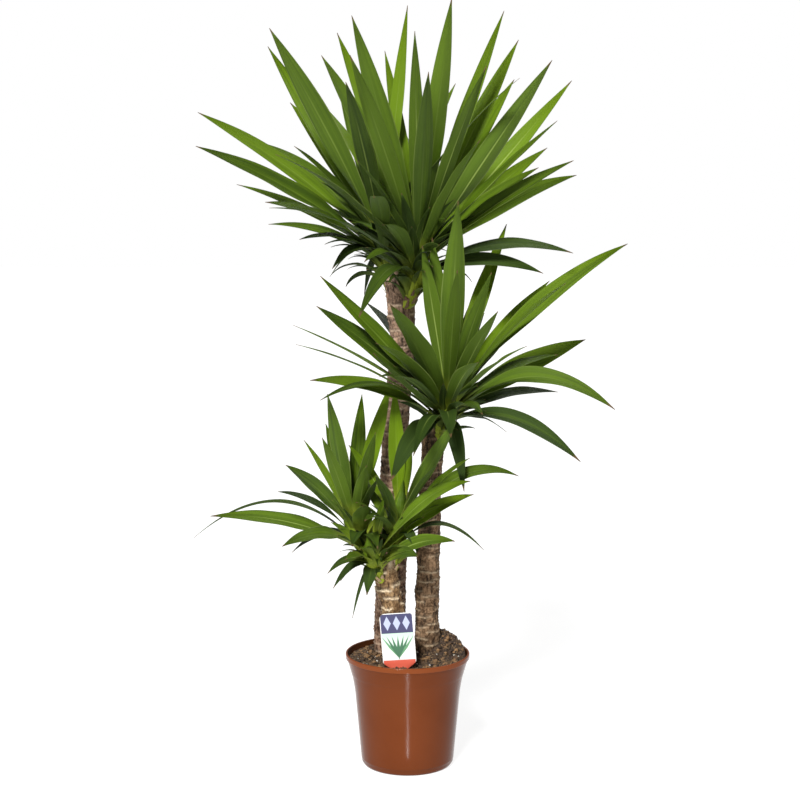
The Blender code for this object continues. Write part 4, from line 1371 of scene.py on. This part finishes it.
@dataclass(frozen=True)
class Head:
    """The shoots of one cane: their blades, the short old leaves under them, their stems and dry leaf bases.

    The stem's swell gives its thickness for shares of its length, from the tail in the cane to the bud.
    """

    name: str
    cane: Cane
    shoots: tuple[Shoot, ...]
    blade: BladeShape = BladeShape()
    skirt_blade: BladeShape = BladeShape(
        rows=16, columns=(-1.0, -0.93, -0.5, 0.0, 0.5, 0.93, 1.0), peak=0.35, neck=0.70, middle=0.0011
    )
    skirt_leaves: int = 50
    skirt_droop: float = 75.0
    skirt_clearance: float = 0.004
    skirt_length: float = 0.150
    skirt_width: float = 0.023
    skirt_fold: float = math.radians(38)
    skirt_fold_left: float = math.radians(9)
    scales: int = 11
    scale_points: Span = (8, 7)
    scale_length: float = 0.018
    scale_spread: float = 0.75
    scale_lean: float = 0.22
    scale_gap: float = 0.0004
    scale_thickness: float = 0.0006
    tail: float = 0.12
    tail_slope: float = 0.10
    bud: float = 1.3
    stem_rings: int = 70
    stem_sides: int = 28
    ridge: float = 0.03
    ridges: int = 14
    stem_look: tuple[tuple[str, float], ...] = (("tone", 0.4), ("age", 0.0), ("beneath", 0.2), ("neck", 0.25))
    swell: tuple[Span, ...] = (
        (-0.12, 0.4),
        (-0.04, 0.75),
        (0.0, 0.9),
        (0.3, 1.1),
        (0.6, 1.7),
        (0.85, 1.6),
        (1.0, 1.2),
        (1.15, 0.5),
        (1.3, 0.06),
    )

    def build(
        self, grown: dict[Shoot, list[Leaf]], finish: bpy.types.Material, dry: bpy.types.Material
    ) -> None:
        """Makes the head's blades, the leaves under them, its stems and their dry bases.

        Args:
            grown: every shoot's leaves.
            finish: the leaf material.
            dry: the dry bases' material.
        """
        blades, skirts, stems, bases = Skin(), Skin(), Skin(), Skin()
        for shoot in self.shoots:
            leaves = grown[shoot]
            grids = [self.blade.grids(shoot, leaf, 100 * shoot.seed + i) for i, leaf in enumerate(leaves)]
            upper, lower = (np.stack(part) for part in zip(*grids))
            blades.add_blades(upper, lower, self.blade.across(), self.tones(shoot, leaves))
            upper, lower, marks = self.skirt(shoot)
            skirts.add_blades(upper, lower, self.skirt_blade.across(), marks)
            look = {name: np.array([value]) for name, value in self.stem_look}
            stems.add_tubes(self.stem(shoot)[None], look, top=0.5)
            upper, lower, across = self.sheaths(shoot)
            tones = np.random.default_rng(shoot.seed + 500).uniform(0, 1, len(upper))
            bases.add_blades(upper, lower, across, {"tone": tones})
        blades.piece(self.name + "_blades", finish, Slot.LEAF, (self.name,))
        skirts.piece(self.name + "_skirts", finish, Slot.LEAF)
        stems.piece(self.name + "_stems", finish, Slot.LEAF)
        bases.piece(self.name + "_bases", dry, Slot.YOUNG_BARK)

    def tones(self, shoot: Shoot, leaves: list[Leaf]) -> Marks:
        """Each leaf's looks: drooping leaves are older, steep ones young and brighter.

        Args:
            shoot: the shoot.
            leaves: its leaves.

        Returns:
            Each leaf's tone, age and pale neck.
        """
        draw = np.random.default_rng(shoot.seed + 300)
        reach = np.array([[leaf.across, leaf.toward, leaf.up] for leaf in leaves])
        steepness = reach[:, 2] / np.linalg.norm(reach, axis=1)
        age = np.clip(0.55 - 0.62 * steepness + draw.normal(0, 0.10, len(leaves)), 0, 1)
        tone = np.clip(0.58 + 0.18 * steepness + draw.normal(0, 0.23, len(leaves)), 0, 1)
        return {"tone": tone, "age": age, "neck": self.neck_share(np.linalg.norm(reach, axis=1) / 100)}

    @staticmethod
    def neck_share(lengths: np.ndarray) -> np.ndarray:
        """The share of each blade's length that its pale neck takes, at most a half."""
        return np.minimum(LeafFinish.neck_length / np.maximum(lengths, 0.01), 0.5)

    def stem(self, shoot: Shoot) -> np.ndarray:
        """The stem's rings: round, as thick as the swell says, with low ridges where leaves sat.

        Args:
            shoot: the shoot.

        Returns:
            The points, shape (rings, sides, 3).
        """
        share = np.linspace(-self.tail, self.bud, self.stem_rings)
        angles = around(self.stem_sides)
        radius = shoot.stem_radius * np.interp(share, *zip(*self.swell))
        ridges = 1 + self.ridge * np.sin(FULL_TURN * share[:, None] * self.ridges + angles[None, :])
        out = (radius[:, None] * ridges)[..., None] * circled(1, angles, 0)
        return self.centre(shoot, share)[:, None] + out

    def centre(self, shoot: Shoot, share: np.ndarray) -> np.ndarray:
        """Points along a stem: its curve, straight on past the heart, and a tail from its foot into the cane.

        Args:
            shoot: the shoot.
            share: shares of the stem's length, below zero in the tail and above one past the heart.

        Returns:
            The points, shape (count, 3).
        """
        foot, heart = np.array(shoot.foot), np.array(shoot.heart)
        beyond, before = np.maximum(share - 1.0, 0.0)[:, None], np.maximum(-share, 0.0)[:, None]
        core = np.append(self.cane.middle(np.minimum(foot[2:], self.cane.path[-1][2]))[0], foot[2])
        tail = np.minimum(before / self.tail, 1.0) * (core - foot) - before * (self.tail_slope * UP)
        return shoot.axis(np.clip(share, 0.0, 1.0)) + beyond * (heart - foot) + tail

    def skirt(self, shoot: Shoot) -> tuple[np.ndarray, np.ndarray, Marks]:
        """The short old leaves that clothe the stem under the rosette.

        Each leaves the stem close along it and tips outward evenly with its length: its tilt from upright
        grows from the first angle by the bend, which is greater the lower it sits. Those that would pass
        through a cane are left out.

        Args:
            shoot: the shoot.

        Returns:
            The upper and lower grids, and each leaf's tone, age and pale neck.
        """
        shape = self.skirt_blade
        t = np.linspace(0, 1, shape.rows)
        fold = self.skirt_fold * (1 - t) + self.skirt_fold_left * t
        draw = np.random.default_rng(shoot.seed + 900)
        grids, tones, ages, lengths = [], [], [], []
        for i in range(self.skirt_leaves):
            low = 1 - i / self.skirt_leaves
            turn = i * GOLDEN_ANGLE + shoot.start_angle + draw.normal(0, 0.25)
            outward = np.array([math.cos(turn), math.sin(turn), 0.0])
            length = self.skirt_length * draw.uniform(0.6, 1.2) * (1.0 - 0.35 * low)
            first = math.radians(draw.uniform(8, 22))
            bend = math.radians(draw.uniform(15, 60) + self.skirt_droop * low * draw.uniform(0.5, 1.2))
            tilt = first + bend * t
            rise = length * (np.sin(tilt) - math.sin(first)) / bend
            out = length * (math.cos(first) - np.cos(tilt)) / bend
            root = shoot.axis(0.62 * (1 - low)) + 0.72 * shoot.stem_radius * outward
            middle = root + out[:, None] * outward + rise[:, None] * UP
            if min(cane.gap(middle[shape.rows // 4:]).min() for cane in CANES) < self.skirt_clearance:
                continue
            along = np.sin(tilt)[:, None] * outward + np.cos(tilt)[:, None] * UP
            twist = draw.normal(0, 0.5) * smoothstep(0.1, 0.9, t)[:, None]
            side = np.tile([-outward[1], outward[0], 0.0], (shape.rows, 1))
            face = np.cos(twist) * np.cross(along, side) + np.sin(twist) * side
            width = self.skirt_width * draw.uniform(0.65, 1.15) * (1 - 0.25 * low)
            axes, seed = (middle, np.cross(face, along), face), 100 * shoot.seed + 60 + i
            grids.append(shape.sheet(axes, width, fold, seed))
            # A low tone darkens these old leaves, partly as painted shade under the rosette.
            tones.append(draw.uniform(0.05, 0.60))
            ages.append(np.clip(0.15 + 0.65 * low + draw.normal(0, 0.15), 0, 1))
            lengths.append(length)
        upper, lower = (np.stack(part) for part in zip(*grids))
        necks = self.neck_share(np.array(lengths))
        return upper, lower, {"tone": np.array(tones), "age": np.array(ages), "neck": necks}

    def sheaths(self, shoot: Shoot) -> tuple[np.ndarray, np.ndarray, np.ndarray]:
        """The torn, papery leaf bases that clasp the stem's foot.

        Each is a sheet on a cylinder around the stem: across, it turns round the stem by the spread to either
        side, and the spread shrinks to a point. Along, it climbs the stem and leans outward with the square.

        Args:
            shoot: the shoot.

        Returns:
            The upper and lower grids, and the share of each column from edge to edge.
        """
        rows, columns = self.scale_points
        t, u = np.linspace(0, 1, rows), np.linspace(-1, 1, columns)
        draw = np.random.default_rng(shoot.seed + 700)
        stem_length = np.linalg.norm(np.array(shoot.heart) - np.array(shoot.foot))
        upper, lower = [], []
        for i in range(self.scales):
            length = self.scale_length * draw.uniform(0.4, 1.5)
            share = 0.30 * i / self.scales - 0.06 + t * length / stem_length
            lean = self.scale_lean * draw.uniform(0.3, 1.8) * length * t**2
            radius = shoot.stem_radius * np.interp(share, *zip(*self.swell)) + self.scale_gap + lean
            spread = self.scale_spread * (1 - t**1.8) * draw.uniform(0.25, 1.0) + 0.03
            turn = i * GOLDEN_ANGLE + shoot.start_angle + 1.0 + spread[:, None] * u
            centre, way = self.centre(shoot, share)[:, None], circled(1, turn, 0)
            upper.append(centre + radius[:, None, None] * way)
            lower.append(centre + (radius[:, None, None] + self.scale_thickness) * way)
        return np.stack(upper)[:, :, ::-1], np.stack(lower)[:, :, ::-1], (u + 1) / 2


HEADS = (
    Head(
        "head_tall",
        CANE_TALL,
        (TALL_FRONT, TALL_BACK),
        skirt_leaves=64,
        skirt_droop=95.0,
        skirt_length=0.165,
    ),
    Head("head_middle", CANE_MIDDLE, (MIDDLE,), skirt_length=0.12),
    Head(
        "head_short",
        CANE_SHORT,
        (SHORT_RIGHT, SHORT_LEFT, SHORT_FRONT),
        skirt_leaves=46,
        skirt_length=0.080,
        skirt_width=0.017,
        scales=9,
        scale_length=0.014,
    ),
)


@dataclass(frozen=True)
class Foliage:
    """All heads: the leaves that the front shows, and those that a rule adds where there is room."""

    drafts: int = 12
    cane_clearance: float = 0.044
    head_clearance: float = 0.035
    charge: float = 10.0
    trace: tuple[float, float, int] = (0.15, 1.0, 10)

    def room(self, line: np.ndarray, own: np.ndarray, others: np.ndarray, canes: np.ndarray) -> float:
        """How much room a leaf's line has in its own head, less a charge for nearing other heads or canes.

        Args:
            line: points of the leaf's line.
            own: points of its head's other leaves.
            others: points of the other heads' leaves.
            canes: points of the canes' middles.

        Returns:
            The room in metres.
        """
        room = nearest(line, own)
        room += self.charge * min(nearest(line, others) - self.head_clearance, 0.0)
        return room + self.charge * min(nearest(line, canes) - self.cane_clearance, 0.0)

    def grow(self) -> dict[Shoot, list[Leaf]]:
        """Every shoot's leaves: those seen, and for each of the rule's the roomiest of its seeded drafts."""
        trace = np.linspace(*self.trace)
        canes = np.concatenate([cane.trace() for cane in CANES])
        taken = {
            head.name: [shoot.line(leaf, trace)[0] for shoot in head.shoots for leaf in shoot.leaves]
            for head in HEADS
        }
        grown = {}
        for head in HEADS:
            others = np.concatenate([line for name in taken if name != head.name for line in taken[name]])
            for shoot in head.shoots:
                draw = random.Random(shoot.seed)
                grown[shoot] = list(shoot.leaves)
                for i in range(shoot.more):
                    own = np.concatenate(taken[head.name])
                    drafts = [shoot.draft(i, draw) for _ in range(self.drafts)]
                    lines = [shoot.line(leaf, trace)[0] for leaf in drafts]
                    best = int(np.argmax([self.room(line, own, others, canes) for line in lines]))
                    grown[shoot].append(drafts[best])
                    taken[head.name].append(lines[best])
        return grown

    def build(self) -> None:
        """Makes all heads."""
        grown, finish, dry = self.grow(), LeafFinish().material(), PaperyFinish().material()
        for head in HEADS:
            head.build(grown, finish, dry)


@dataclass(frozen=True)
class Pot:
    """The nursery pot: a tapered wall that flares to a collar, a rolled lip, a foot ring and drain holes."""

    height: float = 0.195
    rim_radius: float = 0.1065
    lip_height: float = 0.009
    lip_round: float = 0.0015
    lip_fillet: float = 0.0008
    foot_radius: float = 0.0735
    foot_height: float = 0.010
    foot_ring: float = 0.006
    foot_step: float = 0.0008
    foot_width: float = 0.004
    base_radius: float = 0.0792
    taper: float = 0.09
    collar_start: float = 0.120
    collar_flare: float = 2.0
    band_height: float = 0.159
    band_step: float = 0.00035
    band_soft: float = 0.0006
    wall: float = 0.0020
    wall_start: float = 0.008
    floor: float = 0.0025
    floor_round: float = 0.004
    floor_radii: Span = (0.012, 0.05)
    sides: int = 160
    holes: int = 8
    hole_sides: int = 24
    hole_radius: float = 0.005
    hole_ring: float = 0.058

    def radius(self, height: np.ndarray | float) -> np.ndarray:
        """The outer radius under the lip: a straight taper that flares into the collar with a square."""
        above = np.maximum(np.asarray(height, float) - self.collar_start, 0.0)
        return self.base_radius + self.taper * np.asarray(height, float) + self.collar_flare * above**2

    def lip_arc(self, middle: Span, first: float, last: float, count: int) -> np.ndarray:
        """Points of one of the lip's rounds in the section's plane.

        Args:
            middle: its middle, out and up.
            first: its first angle in degrees from the outward direction.
            last: its last angle.
            count: how many points.

        Returns:
            The points, shape (count, 2).
        """
        angles = np.radians(np.linspace(first, last, count))
        return np.array(middle) + self.lip_round * np.stack([np.cos(angles), np.sin(angles)], axis=1)

    def section(self) -> np.ndarray:
        """The section from the floor's middle up the inside, over the lip and down the outside."""
        near, far = self.floor_radii
        lip_base = self.height - self.lip_height
        lip_inside = float(self.radius(lip_base)) - self.wall
        rise = np.linspace(self.wall_start, lip_base, 40)
        inside = np.column_stack([self.radius(rise) - self.wall, rise])
        crown = self.height - self.lip_round
        crest = self.rim_radius - self.lip_round
        fall = np.linspace(lip_base, self.foot_height + self.foot_step, 90)
        step = smoothstep(self.band_height - self.band_soft, self.band_height + self.band_soft, fall)
        outside = np.column_stack([self.radius(fall) - self.band_step + self.band_step * step, fall])
        foot_top = float(self.radius(self.foot_height)) - self.band_step
        floor_edge = float(self.radius(self.floor)) - self.wall - self.floor_round
        return np.concatenate([
            [(near, self.floor), (far, self.floor), (floor_edge, self.floor)],
            inside,
            self.lip_arc((lip_inside + self.lip_round, crown), 180, 90, 6),
            self.lip_arc((crest, crown), 90, 0, 7),
            self.lip_arc((crest, lip_base + self.lip_round), 0, -90, 7),
            [(float(self.radius(lip_base)) + self.lip_fillet, lip_base - 0.0001)],
            outside,
            [(foot_top - self.foot_step, self.foot_height)],
            [(float(self.radius(self.foot_ring)) - self.foot_step, self.foot_ring)],
            [(self.foot_radius + 0.0036, 0.0030), (self.foot_radius + 0.0022, 0.0010)],
            [(self.foot_radius, 0.0), (self.foot_radius - self.foot_width, 0.0)],
            [(far, 0.0), (near, 0.0)],
        ])

    def build(self) -> None:
        """Turns the section about the pot's axis and cuts the drain holes."""
        section = self.section()
        rings = circled(section[:, :1], around(self.sides), section[:, 1:])[:, ::-1]
        inside = np.zeros(rings.shape[:2])
        inside[: int(np.argmax(section[:, 1]))] = 1.0
        skin = Skin()
        skin.add_tubes(rings[None], {"inside": inside[None]})
        self.drill(skin.piece("pot_body", PotFinish().material(), Slot.POT, ("pot",)))

    def drill(self, pot: bpy.types.Object) -> None:
        """Cuts the drain holes through the floor with upright cylinders on a ring.

        Args:
            pot: the pot, which gets the cut mesh.
        """
        turns = FULL_TURN * (np.arange(self.holes) + 0.5) / self.holes
        heights = np.array([[-self.floor], [2 * self.floor]])
        rings = np.tile(circled(self.hole_radius, around(self.hole_sides), heights), (self.holes, 1, 1, 1))
        rings[..., :2] += self.hole_ring * np.stack([np.cos(turns), np.sin(turns)], axis=1)[:, None, None]
        cutters = Skin()
        cutters.add_tubes(rings, {})
        cutter = cutters.piece("drain_cutter", pot.data.materials[0], Slot.POT)
        cut = pot.modifiers.new("drain", "BOOLEAN")
        cut.operation, cut.solver, cut.object = "DIFFERENCE", "EXACT", cutter
        graph = bpy.context.evaluated_depsgraph_get()
        mesh = bpy.data.meshes.new_from_object(pot.evaluated_get(graph))
        pot.modifiers.clear()
        pot.data = mesh
        mesh.shade_smooth()
        mesh.set_sharp_from_angle(angle=SHARP_EDGE)
        bpy.data.objects.remove(cutter, do_unlink=True)


@dataclass(frozen=True)
class Grains:
    """Loose grains of one kind.

    The size is the least and greatest half length, the flatness the least and greatest height for it. Rows
    and sides count the points, and the jitter is how uneven a grain is.
    """

    finish: GrainFinish
    count: int
    size: Span
    flatness: Span
    rows: int
    sides: int
    jitter: float


@dataclass(frozen=True)
class Soil:
    """The potting mix: a lumpy surface with chips, crumbs, perlite and rootlets on it."""

    pot: Pot = Pot()
    clearance: float = 0.0004
    edge_height: float = 0.186
    edge_drop: float = 0.004
    highest_edge: float = 0.189
    dome: float = 0.006
    heap: float = 0.034
    heap_place: Span = (0.055, 0.038)
    heap_reach: float = 0.045
    lump: float = 0.0022
    foot_inset: float = 0.0045
    foot_rise: float = 0.0005
    wall_heights: tuple[float, ...] = (0.009, 0.120, 0.130, 0.140, 0.150, 0.160, 0.168)
    cane_height: float = 0.195
    rootlets: int = 170
    rootlet_margin: float = 0.012
    sides: int = 240
    rings: int = 90
    seed: int = 41
    kinds: tuple[Grains, ...] = (
        Grains(CRUMBS, 2900, (0.0008, 0.0022), (0.6, 1.0), 4, 6, 0.12),
        Grains(CHIPS, 420, (0.0018, 0.0048), (0.35, 0.75), 6, 9, 0.30),
        Grains(PERLITE, 34, (0.0010, 0.0022), (0.75, 1.0), 6, 9, 0.25),
    )

    def height(self, x: np.ndarray, y: np.ndarray) -> np.ndarray:
        """The surface: a low dome, a heap behind the middle cane, and lumps from crossed waves.

        Args:
            x: places across.
            y: places in depth.

        Returns:
            The heights there.
        """
        from_heap = np.hypot(x - self.heap_place[0], y - self.heap_place[1]) / self.heap_reach
        dome = self.dome * (1 - np.hypot(x, y) / self.pot.rim_radius)
        lumps = np.sin(91 * x + 40 * y) * np.cos(73 * y - 55 * x) + 0.6 * np.sin(170 * x - 130 * y)
        return self.edge_height + dome + self.heap * np.exp(-(from_heap**2)) + self.lump * lumps

    def fine_height(self, x: np.ndarray, y: np.ndarray) -> np.ndarray:
        """The surface with its crumbs: finer ripples of two sizes on the height.

        Args:
            x: places across.
            y: places in depth.

        Returns:
            The heights there.
        """
        flat = np.stack([x, y, np.zeros_like(x)], axis=-1)
        fine = 0.0012 * ripple(flat, 0.011, self.seed) + 0.0007 * ripple(flat, 0.0048, self.seed + 1)
        return self.height(x, y) + fine

    def edge(self) -> float:
        """The surface's radius where it meets the pot's wall."""
        inside = float(self.pot.radius(self.edge_height - self.edge_drop)) - self.pot.wall
        return inside - 3 * self.clearance

    def build(self) -> None:
        """Makes the soil's body, from its foot up the wall and in over the surface, and what lies on it."""
        angles = around(self.sides)
        foot = float(self.pot.radius(self.pot.floor)) - self.pot.wall - self.foot_inset
        z = np.array(self.wall_heights)
        r = np.append(foot, self.pot.radius(z) - self.pot.wall - 2 * self.clearance)
        z = np.append(self.pot.floor + self.foot_rise, z)
        share = np.linspace(1.0, 0.01, self.rings)[:, None]
        x, y = self.edge() * share * np.cos(angles), self.edge() * share * np.sin(angles)
        top = self.fine_height(x, y)
        top[0] = np.minimum(top[0], self.highest_edge)
        skin = Skin()
        rings = np.concatenate([circled(r[:, None], angles, z[:, None]), np.stack([x, y, top], axis=-1)])
        skin.add_tubes(rings[None], {})
        skin.piece("soil_body", SoilFinish().material(), Slot.SOIL, ("soil",))
        for grains in self.kinds:
            self.scatter(grains)
        self.strew_rootlets()

    def places(self, count: int, draw: np.random.Generator, margin: float) -> np.ndarray:
        """Seeded places on the surface that are clear of the canes.

        Args:
            count: how many, at most.
            draw: gives the chances.
            margin: how far they stay from the wall, and by two fifths of it from the canes.

        Returns:
            The places, shape (count, 3).
        """
        angle, share = draw.uniform(0, FULL_TURN, 3 * count), np.sqrt(draw.uniform(0, 1, 3 * count))
        radius = share * (self.edge() - margin)
        x, y = radius * np.cos(angle), radius * np.sin(angle)
        clear = np.ones(len(x), bool)
        for cane in CANES:
            height = np.array([self.cane_height])
            middle = cane.middle(height)[0]
            clear &= np.hypot(x - middle[0], y - middle[1]) > cane.radius(height)[0] + 0.4 * margin
        return np.column_stack([x, y, self.fine_height(x, y)])[clear][:count]

    def scatter(self, grains: Grains) -> None:
        """Scatters grains, each a squashed ball with a seeded shape and turn.

        Args:
            grains: their kind.
        """
        name, rows, sides = grains.finish.name, grains.rows, grains.sides
        draw = np.random.default_rng(self.seed + sum(map(ord, name)))
        places = self.places(grains.count, draw, grains.size[1])
        count = len(places)
        polar = np.linspace(math.pi, 0, rows + 2)[1:-1, None]
        ball = circled(np.sin(polar), around(sides), np.cos(polar))
        ball = np.sign(ball) * np.abs(ball) ** 0.75
        shapes = ball[None] * (1 + draw.normal(0, grains.jitter, (count, rows, sides, 1)))
        half = draw.uniform(*grains.size, count)
        width, height = half * draw.uniform(0.45, 0.9, count), half * draw.uniform(*grains.flatness, count)
        shapes = shapes * np.stack([half, width, height], axis=1)[:, None, None, :]
        tilt, spin = draw.normal(0, 0.35, (2, count)), draw.uniform(0, FULL_TURN, count)
        turned = self.turn(shapes, tilt, spin)
        places = places + UP * (0.25 * height[:, None])
        skin = Skin()
        skin.add_tubes(turned + places[:, None, None, :], {"tone": draw.uniform(0, 1, count) ** 1.4})
        skin.piece(name, grains.finish.material(), Slot.SOIL)

    @staticmethod
    def turn(shapes: np.ndarray, tilt: np.ndarray, spin: np.ndarray) -> np.ndarray:
        """Tips each shape about X and Y, then spins it about Z.

        Args:
            shapes: points, shape (count, rows, sides, 3).
            tilt: the angles about X and Y, shape (2, count).
            spin: the angles about Z, shape (count,).

        Returns:
            The turned points.
        """
        x, y, z = np.moveaxis(shapes, -1, 0)
        a, b, c = (angle[:, None, None] for angle in (tilt[0], tilt[1], spin))
        y, z = y * np.cos(a) - z * np.sin(a), y * np.sin(a) + z * np.cos(a)
        x, z = x * np.cos(b) + z * np.sin(b), -x * np.sin(b) + z * np.cos(b)
        x, y = x * np.cos(c) - y * np.sin(c), x * np.sin(c) + y * np.cos(c)
        return np.stack([x, y, z], axis=-1)

    def strew_rootlets(self) -> None:
        """Thin fibres that lie on the surface, each a four-sided tube along a line bent like a parabola."""
        draw = np.random.default_rng(self.seed + 9)
        places = self.places(self.rootlets, draw, self.rootlet_margin)
        count = len(places)
        t = np.linspace(-0.5, 0.5, 7)
        length, spin = draw.uniform(0.006, 0.016, count), draw.uniform(0, FULL_TURN, count)
        bow = draw.normal(0, 0.35, count)
        along, aside = length[:, None] * t, length[:, None] * bow[:, None] * (t**2 - 0.1)
        ahead, left = np.cos(spin)[:, None], np.sin(spin)[:, None]
        x = places[:, :1] + along * ahead - aside * left
        y = places[:, 1:2] + along * left + aside * ahead
        z = self.fine_height(x, y) + 0.0006 + 0.0012 * draw.uniform(0, 1, (count, 1)) * np.cos(math.pi * t)
        thick = draw.uniform(0.00022, 0.00050, count)[:, None] * (1 - 1.5 * t**2)
        angles = around(4)[:, None]
        out = np.stack([-np.sin(spin), np.cos(spin), 0 * spin], axis=1)[:, None, None, :]
        ring = out * np.cos(angles) + UP * np.sin(angles)
        middle = np.stack([x, y, z], axis=-1)[:, :, None, :]
        skin = Skin()
        skin.add_tubes(middle + ring * thick[:, :, None, None], {"tone": draw.uniform(0, 1, count)})
        skin.piece(ROOTLETS.name, ROOTLETS.material(), Slot.SOIL)


@dataclass(frozen=True)
class Label:
    """The plant label: a printed card with rounded corners that narrows to a pointed stake.

    Its layers, from back to front, are each a scale of the outline and a share of half the thickness.
    """

    width: float = 0.056
    card_height: float = 0.094
    stake_depth: float = 0.048
    stake_width: float = 0.012
    shoulder: float = 0.012
    corner: float = 0.009
    neck: float = 0.010
    thickness: float = 0.0008
    middle: Span = (0.0, 0.004)
    layers: tuple[Span, ...] = ((0.5, 1.0), (0.985, 1.0), (1.0, 0.7), (1.0, -0.7), (0.985, -1.0), (0.5, -1.0))
    place: Point = (-0.0125, -0.0775, 0.189)
    lean: float = math.radians(-4.7)
    turn: float = math.radians(-4.0)

    def outline(self) -> np.ndarray:
        """The outline, from the top's middle down the right side and up the left, in the card's plane."""
        half, stake = self.width / 2, self.stake_width / 2
        angles = np.radians(np.linspace(90, 0, 9))
        corner = np.column_stack([
            half - self.corner + self.corner * np.cos(angles),
            self.card_height - self.corner + self.corner * np.sin(angles),
        ])
        side = [(half, z) for z in np.linspace(self.card_height - self.corner, self.shoulder, 6)[1:]]
        s = np.linspace(0, 1, 10)[1:]
        bend = np.column_stack([
            half + (stake - half) * s * s * (3 - 2 * s),
            self.shoulder - (self.shoulder + self.neck) * s,
        ])
        low = -self.stake_depth
        point = [(stake, low + 0.012), (stake - 0.0025, low + 0.004), (0.0012, low)]
        right = np.concatenate([corner, side, bend, point])
        return np.concatenate([right, right[::-1] * np.array([-1, 1])])

    def build(self) -> None:
        """The card as a stack of outlines from back to front, with its edges rounded."""
        middle, outline = np.array(self.middle), self.outline()
        scales, depths = np.array(self.layers).T[..., None]
        x, z = np.moveaxis(middle + (outline - middle) * scales[..., None], -1, 0)
        rings = np.stack(np.broadcast_arrays(x, depths * self.thickness / 2, z), axis=-1)
        front = np.zeros(rings.shape[:2])
        front[len(rings) // 2:] = 1.0
        skin = Skin()
        skin.add_tubes(rings[None], {"front": front[None]})
        skin.maps = [np.concatenate(skin.points)[:, [0, 2]] * 1000]
        label = skin.piece("label_card", CardFinish().material(), Slot.CARD, ("label",))
        label.data.transform(
            Matrix.Translation(self.place)
            @ Matrix.Rotation(self.turn, 4, "Z")
            @ Matrix.Rotation(self.lean, 4, "Y")
        )
        label.data.set_sharp_from_angle(angle=SHARP_EDGE)


@dataclass(frozen=True)
class Studio:
    """The photograph's view, a pale floor and soft lights."""

    eye: Point = (-0.013, -2.8, 0.975)
    pitch: float = math.radians(6.98)
    focal_pixels: float = 1668.0
    frame_pixels: float = 800.0
    sensor: float = 36.0
    farthest: float = 60.0
    floor_half: float = 20.0
    surround: float = 0.24

    def camera(self) -> None:
        """The camera, level and looking a little down along +Y."""
        lens = bpy.data.cameras.new("view")
        lens.sensor_width = self.sensor
        lens.lens = self.focal_pixels / self.frame_pixels * self.sensor
        lens.clip_end = self.farthest
        eye = add_object("view", lens)
        eye.location = self.eye
        eye.rotation_euler = (math.pi / 2 - self.pitch, 0.0, 0.0)
        bpy.context.scene.camera = eye

    def light(self, name: str, place: Point, aim: Point, size: Span, watts: float) -> bpy.types.Object:
        """Makes a soft rectangular light that looks at a point.

        Args:
            name: its name.
            place: where it is.
            aim: the point.
            size: its two sides.
            watts: its power.

        Returns:
            The light.
        """
        lamp = bpy.data.lights.new(name, "AREA")
        lamp.shape = "RECTANGLE"
        lamp.size, lamp.size_y = size
        lamp.energy = watts
        thing = add_object(name, lamp)
        thing.location = place
        thing.rotation_euler = (Vector(place) - Vector(aim)).to_track_quat("Z", "Y").to_euler()
        return thing

    def sun(self, name: str, way: Point, spread: float, strength: float) -> None:
        """Makes a distant soft light.

        Args:
            name: its name.
            way: the direction that it comes from.
            spread: how wide it is, in degrees.
            strength: its strength.
        """
        lamp = bpy.data.lights.new(name, "SUN")
        lamp.angle = math.radians(spread)
        lamp.energy = strength
        add_object(name, lamp).rotation_euler = Vector(way).to_track_quat("Z", "Y").to_euler()

    def floor(self) -> None:
        """A wide floor that the pot stands on."""
        mesh = bpy.data.meshes.new("floor")
        far = self.floor_half
        corners = [(-far, -far, 0), (far, -far, 0), (far, far, 0), (-far, far, 0)]
        mesh.from_pydata(corners, [], [(0, 1, 2, 3)])
        mesh.materials.append(FloorFinish().material())
        add_object("floor", mesh)

    def world(self) -> None:
        """A surround that looks white but lights the plant only a little, so that its depths stay dark."""
        world = bpy.data.worlds.new("surround")
        world.use_nodes = True
        nodes, links = world.node_tree.nodes, world.node_tree.links
        seen, ledge_pale_and_highlight = nodes["Background"], nodes.new("ShaderNodeBackground")
        for shade, strength in ((seen, 1.0), (ledge_pale_and_highlight, self.surround)):
            shade.inputs["Color"].default_value = WHITE
            shade.inputs["Strength"].default_value = strength
        path, mix = nodes.new("ShaderNodeLightPath"), nodes.new("ShaderNodeMixShader")
        links.new(path.outputs["Is Camera Ray"], mix.inputs["Fac"])
        links.new(ledge_pale_and_highlight.outputs[0], mix.inputs[1])
        links.new(seen.outputs[0], mix.inputs[2])
        links.new(mix.outputs[0], nodes["World Output"].inputs["Surface"])
        bpy.context.scene.world = world

    def build(self) -> None:
        """Makes the view, the floor and the lights."""
        self.camera()
        self.floor()
        self.world()
        self.sun("key", (-0.30, -1.0, 0.90), 14, 4.8)
        self.light("back", (0.6, 2.2, 2.6), (0, 0, 0.8), (1.6, 1.2), 26)
        strip = self.light("strip", (0.0, -0.34, 0.004), (0.0, -0.34, 1.0), (0.006, 0.40), 0.26)
        strip.visible_camera = False
        bpy.context.scene.view_settings.view_transform = "Standard"


def main() -> None:
    """Builds the studio and the plant."""
    logging.basicConfig(level=logging.INFO, format="%(name)s %(message)s")
    Studio().build()
    Pot().build()
    Soil().build()
    for cane in CANES:
        cane.build()
    Foliage().build()
    Label().build()


if __name__ == "__main__":
    main()
